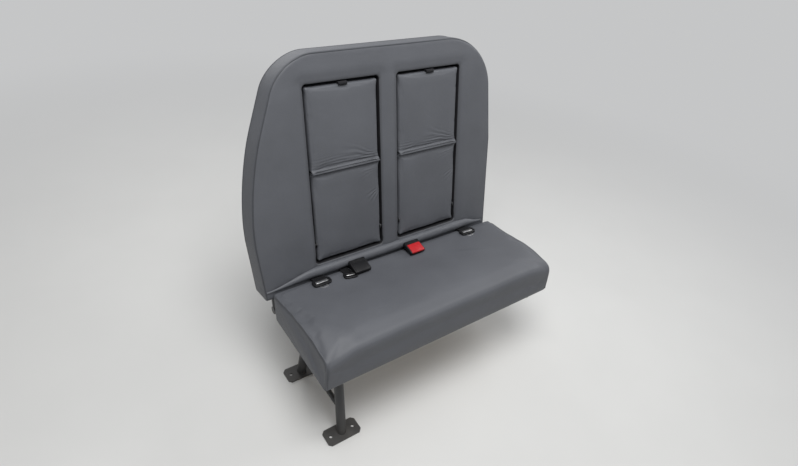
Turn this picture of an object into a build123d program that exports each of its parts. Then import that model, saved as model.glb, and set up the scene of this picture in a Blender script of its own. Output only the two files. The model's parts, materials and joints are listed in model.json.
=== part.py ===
"""Two-place bench seat of a school bus, with two child seats that fold out of its back.

The bench faces -Y, so -Y is the way its passengers look. +X runs from the aisle to the
window wall and +Z is up. The origin is on the floor, at the centre of the aisle leg's bolts.
Sizes are in millimetres.
"""

import os
from math import atan2, cos, radians, sin, tan

from build123d import *

# Driving sizes of the whole bench
SEAT_WIDTH = 990.0
WINDOW_STEP = 24.0
AISLE_EDGE_X = -128.0
BITE_Y = 175.0
BITE_Z = 415.0
RECLINE = 11.6

# Padded back, measured up its own slope from the bite, where it meets the cushion
BACK_TOP = 730.0
BACK_BOTTOM = -26.0
BACK_THICK_LOW = 114.0
BACK_THICK_TOP = 98.0
BACK_FRONT_BEVEL = 7.0
BACK_REAR_ROUND = 28.0
REAR_PANEL_DEPTH = 86.0
AISLE_SLANT_START = 362.0
AISLE_SLANT_INSET = 137.0
AISLE_CORNER_RADIUS = 155.0
AISLE_SIDE_RADIUS = 900.0
AISLE_FOOT_START = 170.0
AISLE_FOOT_INSET = 14.0
WINDOW_TAPER_START = 352.0
WINDOW_TAPER_INSET = 35.0
WINDOW_CORNER_RADIUS = 195.0

# Roll of foam across the foot of the back
ROLL_LOW = 8.0
ROLL_TOP = 42.0
ROLL_BULGE = 16.0
ROLL_ROUND = 9.0
ROLL_END_INSET = 40.0

# Child seats: their pads, the pockets that take them and their pivots
PAD_WIDTH = 255.0
PAD_STRIP = 79.0
AISLE_MARGIN_SHARE = 0.552
PAD_THICK = 40.0
PAD_BOTTOM = 55.0
PAD_SEAM = 367.0
PAD_TOP = 635.0
PAD_BEVEL = 7.0
PAD_END_BEVEL = 5.0
PAD_INSET = 9.0
PAD_HEEL_ROUND = 24.0
PAD_TOP_BACK_BEVEL = 10.0
SEAM_GAP = 3.0
POCKET_SIDE_GAP = 8.0
POCKET_FOOT_GAP = 8.0
POCKET_TOP_GAP = 9.0
POCKET_DEPTH = 82.0
LINER_WALL = 2.0
LINER_FRONT = 4.0
LINER_CORNER_RADIUS = 14.0
PIVOT_UP = 117.0
PIVOT_DEPTH = 12.0
STUD_RADIUS = 5.0
STUD_HEAD_RADIUS = 7.0
STUD_HEAD_THICK = 2.0
STUD_HEAD_ROOM = 1.5
RUNNING_GAP = 0.05
PAN_DEPTH = 22.0
PAN_THICK = 3.0
PAN_EDGE = 3.0
EAR_RADIUS = 10.0
EAR_LENGTH = 100.0
BOARD_DEPTH = 36.0
BOARD_MARGIN = 16.0
WELT_FORWARD = 4.0
WELT_RADIUS = 3.5
WELT_FLANGE = 1.5
WELT_REACH = 20.0
LEAF_GAP = 0.2
LEAF_THICK = 1.5
LEAF_HEIGHT = 15.0

# Padded panel and harness inside each pocket
REST_FOOT = 165.0
REST_TOP = 632.0
REST_THICK = 14.0
REST_SIDE_GAP = 4.0
HARNESS_WIDTH = 38.0
HARNESS_SPREAD = 62.0
HARNESS_FOOT = 196.0
HARNESS_TOP = 560.0
CHEST_CLIP_UP = 430.0
CHEST_CLIP_SIZE = (150.0, 34.0, 8.0)
CROTCH_WIDTH = 30.0
CROTCH_TOP = 300.0
CROTCH_BUCKLE_SIZE = (44.0, 62.0, 13.0)
CROTCH_BUCKLE_UP = 152.0
PULL_WIDTH = 26.0
PULL_DROP = 17.0
PULL_RISE = 3.0
PULL_THICK = 3.0

# Bench cushion
CUSHION_AISLE_INSET = 30.0
CUSHION_DEPTH = 373.0
CUSHION_REAR_RISE = 5.0
CUSHION_BREAK = 236.0
CUSHION_BREAK_RISE = 38.0
CUSHION_FRONT_RISE = 44.0
CUSHION_FRONT_TUCK = 8.0
CUSHION_UNDERSIDE = 92.0
CUSHION_BREAK_ROUND = 500.0
CUSHION_FRONT_ROUND = 34.0
CUSHION_END_BEVEL = 12.0
BOARD_THICK = 12.0
BOARD_INSET = 14.0

# Steel frame under the cushion
TUBE_RADIUS = 14.0
FRAME_SIDE_INSET = 36.0
FRAME_FRONT_INSET = 48.0
POST_DEPTH = 60.0
POST_TOP = 300.0
POST_INSET = 66.0
LEG_TUBE_RADIUS = 16.0
LEG_TOP_SPREAD = 190.0
FOOT_SPREAD = 300.0
FOOT_LENGTH = 124.0
FOOT_WIDTH = 64.0
FOOT_THICK = 6.0
FOOT_CLIP = 10.0
BRACE_HEIGHT = 110.0
BRACE_RADIUS = 9.0
FLOOR_BOLT_SPACING = 84.0
FLOOR_BOLT_RADIUS = 5.5
WALL_GAP = 6.0
WALL_ANGLE_THICK = 4.0
WALL_ANGLE_DROP = 70.0
WALL_ANGLE_REACH = 66.0
WALL_ANGLE_LENGTH = 300.0
WALL_ANGLE_Y = 30.0
WALL_BOLT_SPACING = 220.0
WALL_BOLT_ROWS = 36.0
WALL_BOLT_RADIUS = 5.5

# Belts
WEB_WIDTH = 47.0
WEB_THICK = 2.0
HARNESS_THICK = 2.0
BUCKLE_WIDTH = 62.0
BUCKLE_LENGTH = 52.0
BUCKLE_THICK = 16.0
BUCKLE_CLIP = 4.0
BUCKLE_TILT = 20.0
BUCKLE_FORWARD = 44.0
TONGUE_WIDTH = 58.0
TONGUE_LENGTH = 38.0
TONGUE_THICK = 3.0
TONGUE_FORWARD = 47.0
TONGUE_SLOT = (38.0, 6.0)
BELT_REST = 0.1

# Places worked out from the sizes above
WINDOW_EDGE_X = AISLE_EDGE_X + SEAT_WIDTH
BACK_WIDTH = SEAT_WIDTH - WINDOW_STEP
BACK_WINDOW_X = AISLE_EDGE_X + BACK_WIDTH
SIDE_MARGINS = BACK_WIDTH - 2 * PAD_WIDTH - PAD_STRIP
AISLE_PAD_X = AISLE_EDGE_X + AISLE_MARGIN_SHARE * SIDE_MARGINS
WINDOW_PAD_X = AISLE_PAD_X + PAD_WIDTH + PAD_STRIP
LAP_BELTS = (
    ("aisle_belt_tongue", "aisle_tongue_webbing", AISLE_PAD_X - 16, "tongue"),
    ("aisle_belt_buckle", "aisle_buckle_webbing", AISLE_PAD_X + 131, "buckle"),
    ("window_belt_buckle", "window_buckle_webbing", WINDOW_PAD_X + 31, "buckle"),
    ("window_belt_tongue", "window_tongue_webbing", WINDOW_PAD_X + PAD_WIDTH + 38, "tongue"),
)
UP = Vector(0, sin(radians(RECLINE)), cos(radians(RECLINE)))
FORWARD = Vector(0, -cos(radians(RECLINE)), sin(radians(RECLINE)))
BITE = Vector(0, BITE_Y, BITE_Z)
FACE = Plane(origin=BITE, x_dir=(1, 0, 0), z_dir=FORWARD)
UP_AXIS = Axis(BITE, UP)
FORWARD_AXIS = Axis(BITE, FORWARD)
PADS = (("aisle", AISLE_PAD_X), ("window", WINDOW_PAD_X))
CUSHION_AISLE_X = AISLE_EDGE_X + CUSHION_AISLE_INSET
CUSHION_FLOOR_Z = BITE_Z - CUSHION_UNDERSIDE
TUBE_Z = CUSHION_FLOOR_Z - BOARD_THICK - TUBE_RADIUS
FRONT_TUBE_Y = BITE_Y - CUSHION_DEPTH + FRAME_FRONT_INSET
CUSHION_SLOPE = atan2(CUSHION_BREAK_RISE - CUSHION_REAR_RISE, CUSHION_BREAK)


def face_y(z):
    """Where the back's front face is at a height."""
    return BITE_Y + (z - BITE_Z) * tan(radians(RECLINE))


def spot(x, up, depth):
    """The point at x, so far up the back's front face and so deep behind it."""
    return BITE + Vector(x, 0, 0) + UP * up - FORWARD * depth


def side_plane(x):
    """A plane across the bench at x: its x is depth behind the face and its y is up."""
    return Plane(origin=BITE + Vector(x, 0, 0), x_dir=FORWARD * -1, z_dir=(1, 0, 0))


def bench_plane(x):
    """The cushion's top at x, behind the break. Its y runs back to the bite."""
    start = (x, face_y(BITE_Z + CUSHION_REAR_RISE), BITE_Z + CUSHION_REAR_RISE)
    return Plane(origin=start, x_dir=(1, 0, 0), z_dir=(0, sin(CUSHION_SLOPE), cos(CUSHION_SLOPE)))


os.makedirs("parts", exist_ok=True)


def save(part, name):
    """Labels a finished piece and writes it."""
    part.label = name
    export_step(part, f"parts/{name}.step")


# Steel frame: cross tubes, rails and the posts that carry the back
post_run = (TUBE_Z - BITE_Z + POST_DEPTH * sin(radians(RECLINE))) / cos(radians(RECLINE))
rear_tube = spot(0, post_run, POST_DEPTH)
tube_left = CUSHION_AISLE_X + FRAME_SIDE_INSET - TUBE_RADIUS
tube_right = WINDOW_EDGE_X - FRAME_SIDE_INSET + TUBE_RADIUS
cross_tubes = {}
for name, y in (("front_cross_tube", FRONT_TUBE_Y), ("rear_cross_tube", rear_tube.Y)):
    with BuildPart() as cross:
        with BuildSketch(Plane.YZ.offset(tube_left)):
            with Locations((y, TUBE_Z)):
                Circle(TUBE_RADIUS)
        extrude(amount=tube_right - tube_left)
    cross_tubes[name] = cross.part
    save(cross.part, name)

rails = {}
RAILS = (
    ("aisle_side_rail", CUSHION_AISLE_X + FRAME_SIDE_INSET),
    ("leg_rail", 0.0),
    ("window_side_rail", WINDOW_EDGE_X - FRAME_SIDE_INSET),
)
for name, x in RAILS:
    with BuildPart() as rail:
        with BuildSketch(Plane.XZ.offset(-rear_tube.Y)):
            with Locations((x, TUBE_Z)):
                Circle(TUBE_RADIUS)
        extrude(amount=rear_tube.Y - FRONT_TUBE_Y)
        for cross_tube in cross_tubes.values():
            add(cross_tube, mode=Mode.SUBTRACT)
    rails[name] = rail.part
    save(rail.part, name)

posts = {}
POSTS = (
    ("aisle_back_post", AISLE_EDGE_X + POST_INSET),
    ("window_back_post", BACK_WINDOW_X - POST_INSET),
)
for name, x in POSTS:
    with BuildPart() as post:
        with BuildSketch(Plane(origin=spot(x, post_run, POST_DEPTH), x_dir=(1, 0, 0), z_dir=UP)):
            Circle(TUBE_RADIUS)
        extrude(amount=POST_TOP - post_run)
        add(cross_tubes["rear_cross_tube"], mode=Mode.SUBTRACT)
        for rail in rails.values():
            add(rail, mode=Mode.SUBTRACT)
    posts[name] = post.part
    save(post.part, name)

# Aisle leg: two splayed tubes with a brace between them, on two bolted foot plates
leg_tubes = {}
for name, foot_name, side in (("front_leg_tube", "front_foot", -1), ("rear_leg_tube", "rear_foot", 1)):
    top = Vector(0, side * LEG_TOP_SPREAD / 2, TUBE_Z)
    foot = Vector(0, side * FOOT_SPREAD / 2, 0)
    with BuildPart() as leg_tube:
        with BuildSketch(Plane(origin=foot - (top - foot) * 0.1, x_dir=(1, 0, 0), z_dir=top - foot)):
            Circle(LEG_TUBE_RADIUS)
        extrude(amount=(top - foot).length * 1.1)
        split(bisect_by=Plane.XY.offset(FOOT_THICK), keep=Keep.TOP)
        add(rails["leg_rail"], mode=Mode.SUBTRACT)
        with BuildSketch(Plane.XY.offset(TUBE_Z)):
            Rectangle(4 * LEG_TUBE_RADIUS, 2 * FOOT_SPREAD)
        extrude(amount=2 * LEG_TUBE_RADIUS, mode=Mode.SUBTRACT)
    leg_tubes[name] = leg_tube.part
    save(leg_tube.part, name)
    with BuildPart() as foot_plate:
        with BuildSketch(Plane.XY) as foot_outline:
            with Locations((0, side * FOOT_SPREAD / 2)):
                Rectangle(FOOT_LENGTH, FOOT_WIDTH)
            chamfer(foot_outline.vertices(), FOOT_CLIP)
            with Locations((0, side * FOOT_SPREAD / 2)):
                with GridLocations(FLOOR_BOLT_SPACING, 0, 2, 1):
                    Circle(FLOOR_BOLT_RADIUS, mode=Mode.SUBTRACT)
        extrude(amount=FOOT_THICK)
    save(foot_plate.part, foot_name)

with BuildPart() as leg_brace:
    with BuildSketch(Plane.XZ.offset(-FOOT_SPREAD / 2)):
        with Locations((0, BRACE_HEIGHT)):
            Circle(BRACE_RADIUS)
    extrude(amount=FOOT_SPREAD)
    for leg_tube in leg_tubes.values():
        add(leg_tube, mode=Mode.SUBTRACT)
    middle = leg_brace.solids().sort_by(lambda solid: abs(solid.center().Y))[0]
save(middle, "leg_brace")

# Wall angle under the window rail, with the bolts that hold the bench to the side wall
wall_x = WINDOW_EDGE_X + WALL_GAP
angle_top = TUBE_Z - TUBE_RADIUS
with BuildPart() as wall_bracket:
    with BuildSketch(Plane.XZ.offset(-(WALL_ANGLE_Y + WALL_ANGLE_LENGTH / 2))):
        with BuildLine():
            Polyline(
                (wall_x, angle_top),
                (wall_x - WALL_ANGLE_REACH, angle_top),
                (wall_x - WALL_ANGLE_REACH, angle_top - WALL_ANGLE_THICK),
                (wall_x - WALL_ANGLE_THICK, angle_top - WALL_ANGLE_THICK),
                (wall_x - WALL_ANGLE_THICK, angle_top - WALL_ANGLE_DROP),
                (wall_x, angle_top - WALL_ANGLE_DROP),
                close=True,
            )
        make_face()
    extrude(amount=WALL_ANGLE_LENGTH)
    bolt_z = angle_top - WALL_ANGLE_DROP / 2 - WALL_ANGLE_THICK / 2
    with BuildSketch(Plane.YZ.offset(wall_x - 2 * WALL_ANGLE_THICK)):
        with Locations((WALL_ANGLE_Y, bolt_z)):
            with GridLocations(WALL_BOLT_SPACING, WALL_BOLT_ROWS, 2, 2):
                Circle(WALL_BOLT_RADIUS)
    extrude(amount=3 * WALL_ANGLE_THICK, mode=Mode.SUBTRACT)
save(wall_bracket.part, "wall_bracket")
print("wall bolts", wall_x, WALL_ANGLE_Y, bolt_z)

# Padded back, whole: a rounded slab whose aisle side slants in towards the top
with BuildPart() as back:
    with BuildSketch(FACE):
        with BuildLine():
            Polyline(
                (AISLE_EDGE_X + AISLE_FOOT_INSET, BACK_BOTTOM),
                (AISLE_EDGE_X, AISLE_FOOT_START),
                (AISLE_EDGE_X, AISLE_SLANT_START),
                (AISLE_EDGE_X + AISLE_SLANT_INSET, BACK_TOP),
                (BACK_WINDOW_X - WINDOW_TAPER_INSET, BACK_TOP),
                (BACK_WINDOW_X, WINDOW_TAPER_START),
                (BACK_WINDOW_X, BACK_BOTTOM),
                close=True,
            )
        make_face()
    extrude(amount=-BACK_THICK_LOW)
    top_corners = back.edges().filter_by(FORWARD_AXIS).sort_by(UP_AXIS)[-2:].sort_by(Axis.X)
    fillet(top_corners[0], AISLE_CORNER_RADIUS)
    top_corners = back.edges().filter_by(FORWARD_AXIS).sort_by(Axis.X)[-3:].sort_by(UP_AXIS)
    fillet(top_corners[-1], WINDOW_CORNER_RADIUS)
    bend = back.edges().filter_by(FORWARD_AXIS).group_by(Axis.X)[0].sort_by(UP_AXIS)[-1]
    fillet(bend, AISLE_SIDE_RADIUS)
    with BuildSketch(side_plane(AISLE_EDGE_X - 10)):
        with BuildLine():
            Polyline(
                (BACK_THICK_LOW, BACK_BOTTOM),
                (BACK_THICK_TOP, BACK_TOP),
                (BACK_THICK_TOP, BACK_TOP + 20),
                (BACK_THICK_LOW + 20, BACK_TOP + 20),
                (BACK_THICK_LOW + 20, BACK_BOTTOM),
                close=True,
            )
        make_face()
    extrude(amount=SEAT_WIDTH + 20, mode=Mode.SUBTRACT)
    fillet(back.faces().sort_by(FORWARD_AXIS)[0].edges(), BACK_REAR_ROUND)
    chamfer(back.faces().sort_by(FORWARD_AXIS)[-1].edges(), BACK_FRONT_BEVEL)

with BuildPart() as rear_pad:
    add(back.part)
    split(bisect_by=FACE.offset(-REAR_PANEL_DEPTH), keep=Keep.BOTTOM)
save(rear_pad.part, "back_rear_panel")

with BuildPart() as back_cushion:
    add(back.part)
    split(bisect_by=FACE.offset(-REAR_PANEL_DEPTH), keep=Keep.TOP)
    with BuildSketch(side_plane(AISLE_EDGE_X + ROLL_END_INSET)) as roll_end:
        with Locations((-ROLL_BULGE / 2 + 1, (ROLL_LOW + ROLL_TOP) / 2)):
            Rectangle(ROLL_BULGE + 2, ROLL_TOP - ROLL_LOW)
        fillet(roll_end.vertices().group_by(Axis.X)[0], ROLL_ROUND)
    extrude(amount=BACK_WIDTH - 2 * ROLL_END_INSET)
    pocket_height = PAD_TOP + POCKET_TOP_GAP - PAD_BOTTOM + POCKET_FOOT_GAP
    pocket_middle = (PAD_TOP + POCKET_TOP_GAP + PAD_BOTTOM - POCKET_FOOT_GAP) / 2
    with BuildSketch(FACE.offset(1)):
        for name, x in PADS:
            with Locations((x + PAD_WIDTH / 2, pocket_middle)):
                RectangleRounded(PAD_WIDTH + 2 * POCKET_SIDE_GAP, pocket_height, LINER_CORNER_RADIUS)
    extrude(amount=-POCKET_DEPTH - 1, mode=Mode.SUBTRACT)
    for post in posts.values():
        add(post, mode=Mode.SUBTRACT)
save(back_cushion.part, "back_cushion")

# Bench cushion on its board
with BuildPart() as bench_cushion:
    with BuildSketch(Plane.YZ.offset(CUSHION_AISLE_X)) as cushion_side:
        with BuildLine():
            rear_top = (face_y(BITE_Z + CUSHION_REAR_RISE), BITE_Z + CUSHION_REAR_RISE)
            Polyline(
                rear_top,
                (rear_top[0] - CUSHION_BREAK, BITE_Z + CUSHION_BREAK_RISE),
                (BITE_Y - CUSHION_DEPTH, BITE_Z + CUSHION_FRONT_RISE),
                (BITE_Y - CUSHION_DEPTH + CUSHION_FRONT_TUCK, CUSHION_FLOOR_Z),
                (face_y(CUSHION_FLOOR_Z), CUSHION_FLOOR_Z),
                close=True,
            )
        make_face()
        top_points = cushion_side.vertices().sort_by(Axis.Y)[-2:].sort_by(Axis.X)
        fillet(top_points[1], CUSHION_BREAK_ROUND)
        fillet(cushion_side.vertices().group_by(Axis.X)[0], CUSHION_FRONT_ROUND)
    extrude(amount=WINDOW_EDGE_X - CUSHION_AISLE_X)
    for end in (0, -1):
        end_edges = bench_cushion.faces().sort_by(Axis.X)[end].edges()
        front_edges = end_edges.filter_by(lambda edge: edge.center().Z > CUSHION_FLOOR_Z + 1)
        chamfer(front_edges.filter_by(lambda edge: edge.center().Y < BITE_Y - 30), CUSHION_END_BEVEL)
save(bench_cushion.part, "bench_cushion")

with BuildPart() as cushion_board:
    board_front = BITE_Y - CUSHION_DEPTH + CUSHION_FRONT_TUCK + BOARD_INSET
    board_rear = face_y(CUSHION_FLOOR_Z) - BOARD_INSET
    with BuildSketch(Plane.XY.offset(CUSHION_FLOOR_Z)):
        with Locations(((CUSHION_AISLE_X + WINDOW_EDGE_X) / 2, (board_front + board_rear) / 2)):
            board_width = WINDOW_EDGE_X - CUSHION_AISLE_X - 2 * BOARD_INSET
            RectangleRounded(board_width, board_rear - board_front, 20)
    extrude(amount=-BOARD_THICK)
save(cushion_board.part, "cushion_board")

# Lap belts lying on the cushion in front of the bite
for fitting_name, web_name, x, kind in LAP_BELTS:
    tilted = kind == "buckle"
    width = BUCKLE_WIDTH if tilted else TONGUE_WIDTH
    length = BUCKLE_LENGTH if tilted else TONGUE_LENGTH
    thick = BUCKLE_THICK if tilted else TONGUE_THICK
    forward = BUCKLE_FORWARD if tilted else TONGUE_FORWARD
    web_end = forward + BUCKLE_LENGTH / 2 if tilted else TONGUE_FORWARD - TONGUE_LENGTH / 2
    with BuildPart() as webbing:
        with BuildSketch(bench_plane(x)):
            with Locations((0, -web_end / 2)):
                Rectangle(WEB_WIDTH, web_end)
        extrude(amount=WEB_THICK)
        split(bisect_by=FACE, keep=Keep.TOP)
    save(webbing.part, web_name)
    with BuildPart() as fitting:
        place = bench_plane(x) * Location((0, -forward - length / 2, WEB_THICK + BELT_REST))
        if tilted:
            place = place * Location((0, 0, 0), (BUCKLE_TILT, 0, 0))
        else:
            place = bench_plane(x) * Location((0, -forward - length / 2, 0))
        with BuildSketch(place) as fitting_outline:
            with Locations((0, length / 2)):
                Rectangle(width, length)
            chamfer(fitting_outline.vertices(), BUCKLE_CLIP)
            if not tilted:
                with Locations((0, length - TONGUE_SLOT[1] - 2)):
                    Rectangle(*TONGUE_SLOT, mode=Mode.SUBTRACT)
        extrude(amount=thick)
        if tilted:
            chamfer(fitting.faces().sort_by(Axis.Z)[-1].edges(), BUCKLE_CLIP / 2)
    save(fitting.part, fitting_name)

# The two child seats, in their stowed place
for seat, left in PADS:
    right = left + PAD_WIDTH
    middle_x = (left + right) / 2
    pivot = spot(0, PIVOT_UP, PIVOT_DEPTH)

    # Moulded liner of the pocket
    with BuildPart() as liner:
        with BuildSketch(FACE.offset(-LINER_FRONT)):
            with Locations((middle_x, pocket_middle)):
                RectangleRounded(PAD_WIDTH + 2 * POCKET_SIDE_GAP, pocket_height, LINER_CORNER_RADIUS)
        extrude(amount=LINER_FRONT - POCKET_DEPTH)
        with BuildSketch(FACE.offset(-LINER_FRONT)):
            with Locations((middle_x, pocket_middle)):
                RectangleRounded(
                    PAD_WIDTH + 2 * (POCKET_SIDE_GAP - LINER_WALL),
                    pocket_height - 2 * LINER_WALL,
                    LINER_CORNER_RADIUS - LINER_WALL,
                )
        extrude(amount=LINER_FRONT - POCKET_DEPTH + LINER_WALL, mode=Mode.SUBTRACT)
    save(liner.part, f"{seat}_pocket_liner")

    # Padded rest inside the pocket, with the harness hanging in front of it
    rest_front = POCKET_DEPTH - LINER_WALL - REST_THICK
    with BuildPart() as rest:
        with BuildSketch(FACE.offset(-rest_front)):
            with Locations((middle_x, (REST_FOOT + REST_TOP) / 2)):
                rest_width = PAD_WIDTH + 2 * (POCKET_SIDE_GAP - LINER_WALL - REST_SIDE_GAP)
                Rectangle(rest_width, REST_TOP - REST_FOOT)
        extrude(amount=-REST_THICK)
        chamfer(rest.faces().sort_by(FORWARD_AXIS)[-1].edges(), 4)
    save(rest.part, f"{seat}_child_backrest")
    for side_name, side in (("left", -1), ("right", 1)):
        with BuildPart() as strap:
            with BuildSketch(FACE.offset(-rest_front)):
                with Locations((middle_x + side * HARNESS_SPREAD, (HARNESS_FOOT + HARNESS_TOP) / 2)):
                    Rectangle(HARNESS_WIDTH, HARNESS_TOP - HARNESS_FOOT)
            extrude(amount=HARNESS_THICK)
        save(strap.part, f"{seat}_harness_strap_{side_name}")
    with BuildPart() as chest_clip:
        with BuildSketch(FACE.offset(HARNESS_THICK - rest_front)) as clip_outline:
            with Locations((middle_x, CHEST_CLIP_UP)):
                Rectangle(CHEST_CLIP_SIZE[0], CHEST_CLIP_SIZE[1])
            chamfer(clip_outline.vertices(), 7)
        extrude(amount=CHEST_CLIP_SIZE[2])
        chamfer(chest_clip.faces().sort_by(FORWARD_AXIS)[-1].edges(), 2)
    save(chest_clip.part, f"{seat}_chest_clip")

    # Lower fold: front pad, steel pan with pivot ears, and the pad a child sits on
    with BuildPart() as lower:
        with BuildSketch(side_plane(left)) as lower_side:
            with BuildLine():
                Polyline(
                    (0, PAD_BOTTOM),
                    (0, PAD_SEAM - SEAM_GAP / 2),
                    (PAD_THICK, PAD_SEAM - SEAM_GAP / 2),
                    (PAD_THICK, PAD_BOTTOM),
                    close=True,
                )
            make_face()
            chamfer(lower_side.vertices().group_by(Axis.X)[0], PAD_BEVEL)
            chamfer(lower_side.vertices().group_by(Axis.X)[-1].sort_by(Axis.Y)[-1], PAD_BEVEL)
            fillet(lower_side.vertices().group_by(Axis.X)[-1].sort_by(Axis.Y)[0], PAD_HEEL_ROUND)
        extrude(amount=PAD_WIDTH)
        for end in (0, -1):
            chamfer(lower.faces().sort_by(Axis.X)[end].edges(), PAD_END_BEVEL)
    with BuildPart() as pan:
        with BuildSketch(FACE.offset(-PAN_DEPTH)):
            with Locations((middle_x, (PAD_BOTTOM + PAD_SEAM) / 2)):
                Rectangle(PAD_WIDTH - 2 * PAN_EDGE, PAD_SEAM - PAD_BOTTOM - 2 * PAD_INSET)
        extrude(amount=-PAN_THICK)
        for x in (left, right - PAN_EDGE):
            with BuildSketch(side_plane(x)):
                with BuildLine():
                    Polyline(
                        (PIVOT_DEPTH, PIVOT_UP - EAR_RADIUS),
                        (PAN_DEPTH + PAN_THICK, PIVOT_UP - EAR_RADIUS),
                        (PAN_DEPTH + PAN_THICK, PIVOT_UP + EAR_LENGTH),
                        (PAN_DEPTH, PIVOT_UP + EAR_LENGTH),
                        (PIVOT_DEPTH, PIVOT_UP + EAR_RADIUS),
                        close=True,
                    )
                make_face()
                with Locations((PIVOT_DEPTH, PIVOT_UP)):
                    Circle(EAR_RADIUS)
            extrude(amount=PAN_EDGE)
        with BuildSketch(side_plane(left - 1)):
            with Locations((PIVOT_DEPTH, PIVOT_UP)):
                Circle(STUD_RADIUS + RUNNING_GAP)
        extrude(amount=PAD_WIDTH + 2, mode=Mode.SUBTRACT)
    save(pan.part, f"{seat}_seat_pan")
    with BuildPart() as stud_rooms:
        for x in (left, right):
            inward = 1 if x == left else -1
            with BuildSketch(side_plane(x)):
                with Locations((PIVOT_DEPTH, PIVOT_UP)):
                    Circle(STUD_HEAD_RADIUS + STUD_HEAD_ROOM)
            extrude(amount=inward * (PAN_EDGE + STUD_HEAD_THICK + 2 * STUD_HEAD_ROOM))
    with BuildPart() as front_pad:
        add(lower.part)
        split(bisect_by=FACE.offset(-PAN_DEPTH), keep=Keep.TOP)
        add(pan.part, mode=Mode.SUBTRACT)
        add(stud_rooms.part, mode=Mode.SUBTRACT)
    save(front_pad.part, f"{seat}_lower_pad")
    with BuildPart() as booster:
        add(lower.part)
        split(bisect_by=FACE.offset(-PAN_DEPTH - PAN_THICK), keep=Keep.BOTTOM)
        add(pan.part, mode=Mode.SUBTRACT)
    save(booster.part, f"{seat}_booster_pad")

    # Crotch strap and buckle on the booster pad
    with BuildPart() as crotch_strap:
        strap_foot = CROTCH_BUCKLE_UP + CROTCH_BUCKLE_SIZE[1]
        with BuildSketch(FACE.offset(-PAD_THICK)):
            with Locations((middle_x, (strap_foot + CROTCH_TOP) / 2)):
                Rectangle(CROTCH_WIDTH, CROTCH_TOP - strap_foot)
        extrude(amount=-HARNESS_THICK)
    save(crotch_strap.part, f"{seat}_crotch_strap")
    with BuildPart() as crotch_buckle:
        with BuildSketch(FACE.offset(-PAD_THICK)) as buckle_outline:
            with Locations((middle_x, CROTCH_BUCKLE_UP + CROTCH_BUCKLE_SIZE[1] / 2)):
                Rectangle(CROTCH_BUCKLE_SIZE[0], CROTCH_BUCKLE_SIZE[1])
            chamfer(buckle_outline.vertices(), 6)
        extrude(amount=-CROTCH_BUCKLE_SIZE[2])
        chamfer(crotch_buckle.faces().sort_by(FORWARD_AXIS)[0].edges(), 3)
    save(crotch_buckle.part, f"{seat}_crotch_buckle")

    # Welt cord that the upper pad folds about, with its flange in the seam
    with BuildPart() as welt:
        with BuildSketch(side_plane(left + PAD_END_BEVEL)):
            with Locations((-WELT_FORWARD, PAD_SEAM)):
                Circle(WELT_RADIUS)
            flange_up = PAD_SEAM - SEAM_GAP / 2 + WELT_FLANGE / 2
            with Locations(((WELT_REACH - WELT_FORWARD) / 2, flange_up)):
                Rectangle(WELT_REACH + WELT_FORWARD, WELT_FLANGE)
        extrude(amount=PAD_WIDTH - 2 * PAD_END_BEVEL)
    save(welt.part, f"{seat}_fold_welt")

    # Upper fold: pad, backing board and pull strap
    with BuildPart() as upper:
        with BuildSketch(side_plane(left)) as upper_side:
            with BuildLine():
                Polyline(
                    (0, PAD_SEAM + SEAM_GAP / 2),
                    (0, PAD_TOP),
                    (PAD_THICK, PAD_TOP),
                    (PAD_THICK, PAD_SEAM + SEAM_GAP / 2),
                    close=True,
                )
            make_face()
            chamfer(upper_side.vertices().group_by(Axis.X)[0], PAD_BEVEL)
            chamfer(upper_side.vertices().group_by(Axis.X)[-1].sort_by(Axis.Y)[0], PAD_BEVEL)
            chamfer(upper_side.vertices().group_by(Axis.X)[-1].sort_by(Axis.Y)[-1], PAD_TOP_BACK_BEVEL)
        extrude(amount=PAD_WIDTH)
        for end in (0, -1):
            chamfer(upper.faces().sort_by(Axis.X)[end].edges(), PAD_END_BEVEL)
    with BuildPart() as board:
        with BuildSketch(FACE.offset(-BOARD_DEPTH)):
            with Locations((middle_x, (PAD_SEAM + PAD_TOP) / 2)):
                board_height = PAD_TOP - PAD_SEAM - 2 * BOARD_MARGIN
                Rectangle(PAD_WIDTH - 2 * BOARD_MARGIN, board_height)
        extrude(amount=BOARD_DEPTH - PAD_THICK)
    save(board.part, f"{seat}_upper_board")
    with BuildPart() as upper_pad:
        add(upper.part)
        add(board.part, mode=Mode.SUBTRACT)
        with BuildSketch(side_plane(left + PAD_END_BEVEL)):
            leaf_round = WELT_RADIUS + LEAF_GAP
            leaf_foot = PAD_SEAM + leaf_round * cos(radians(45))
            leaf_top = PAD_SEAM + LEAF_HEIGHT
            with BuildLine():
                Polyline(
                    (-WELT_FORWARD, PAD_SEAM),
                    (-WELT_FORWARD + 10, PAD_SEAM + 10),
                    (-WELT_FORWARD, PAD_SEAM + 14),
                    (-WELT_FORWARD - 10, PAD_SEAM + 6),
                    close=True,
                )
            make_face()
            with Locations((-WELT_FORWARD, PAD_SEAM)):
                Circle(leaf_round + LEAF_THICK, mode=Mode.INTERSECT)
                Circle(leaf_round, mode=Mode.SUBTRACT)
            with Locations((-LEAF_THICK / 2, (leaf_foot + leaf_top) / 2)):
                Rectangle(LEAF_THICK, leaf_top - leaf_foot)
        extrude(amount=PAD_WIDTH - 2 * PAD_END_BEVEL)
    save(upper_pad.part, f"{seat}_upper_pad")
    with BuildPart() as pull_strap:
        with BuildSketch(side_plane(middle_x - PULL_WIDTH / 2)):
            with BuildLine():
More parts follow.
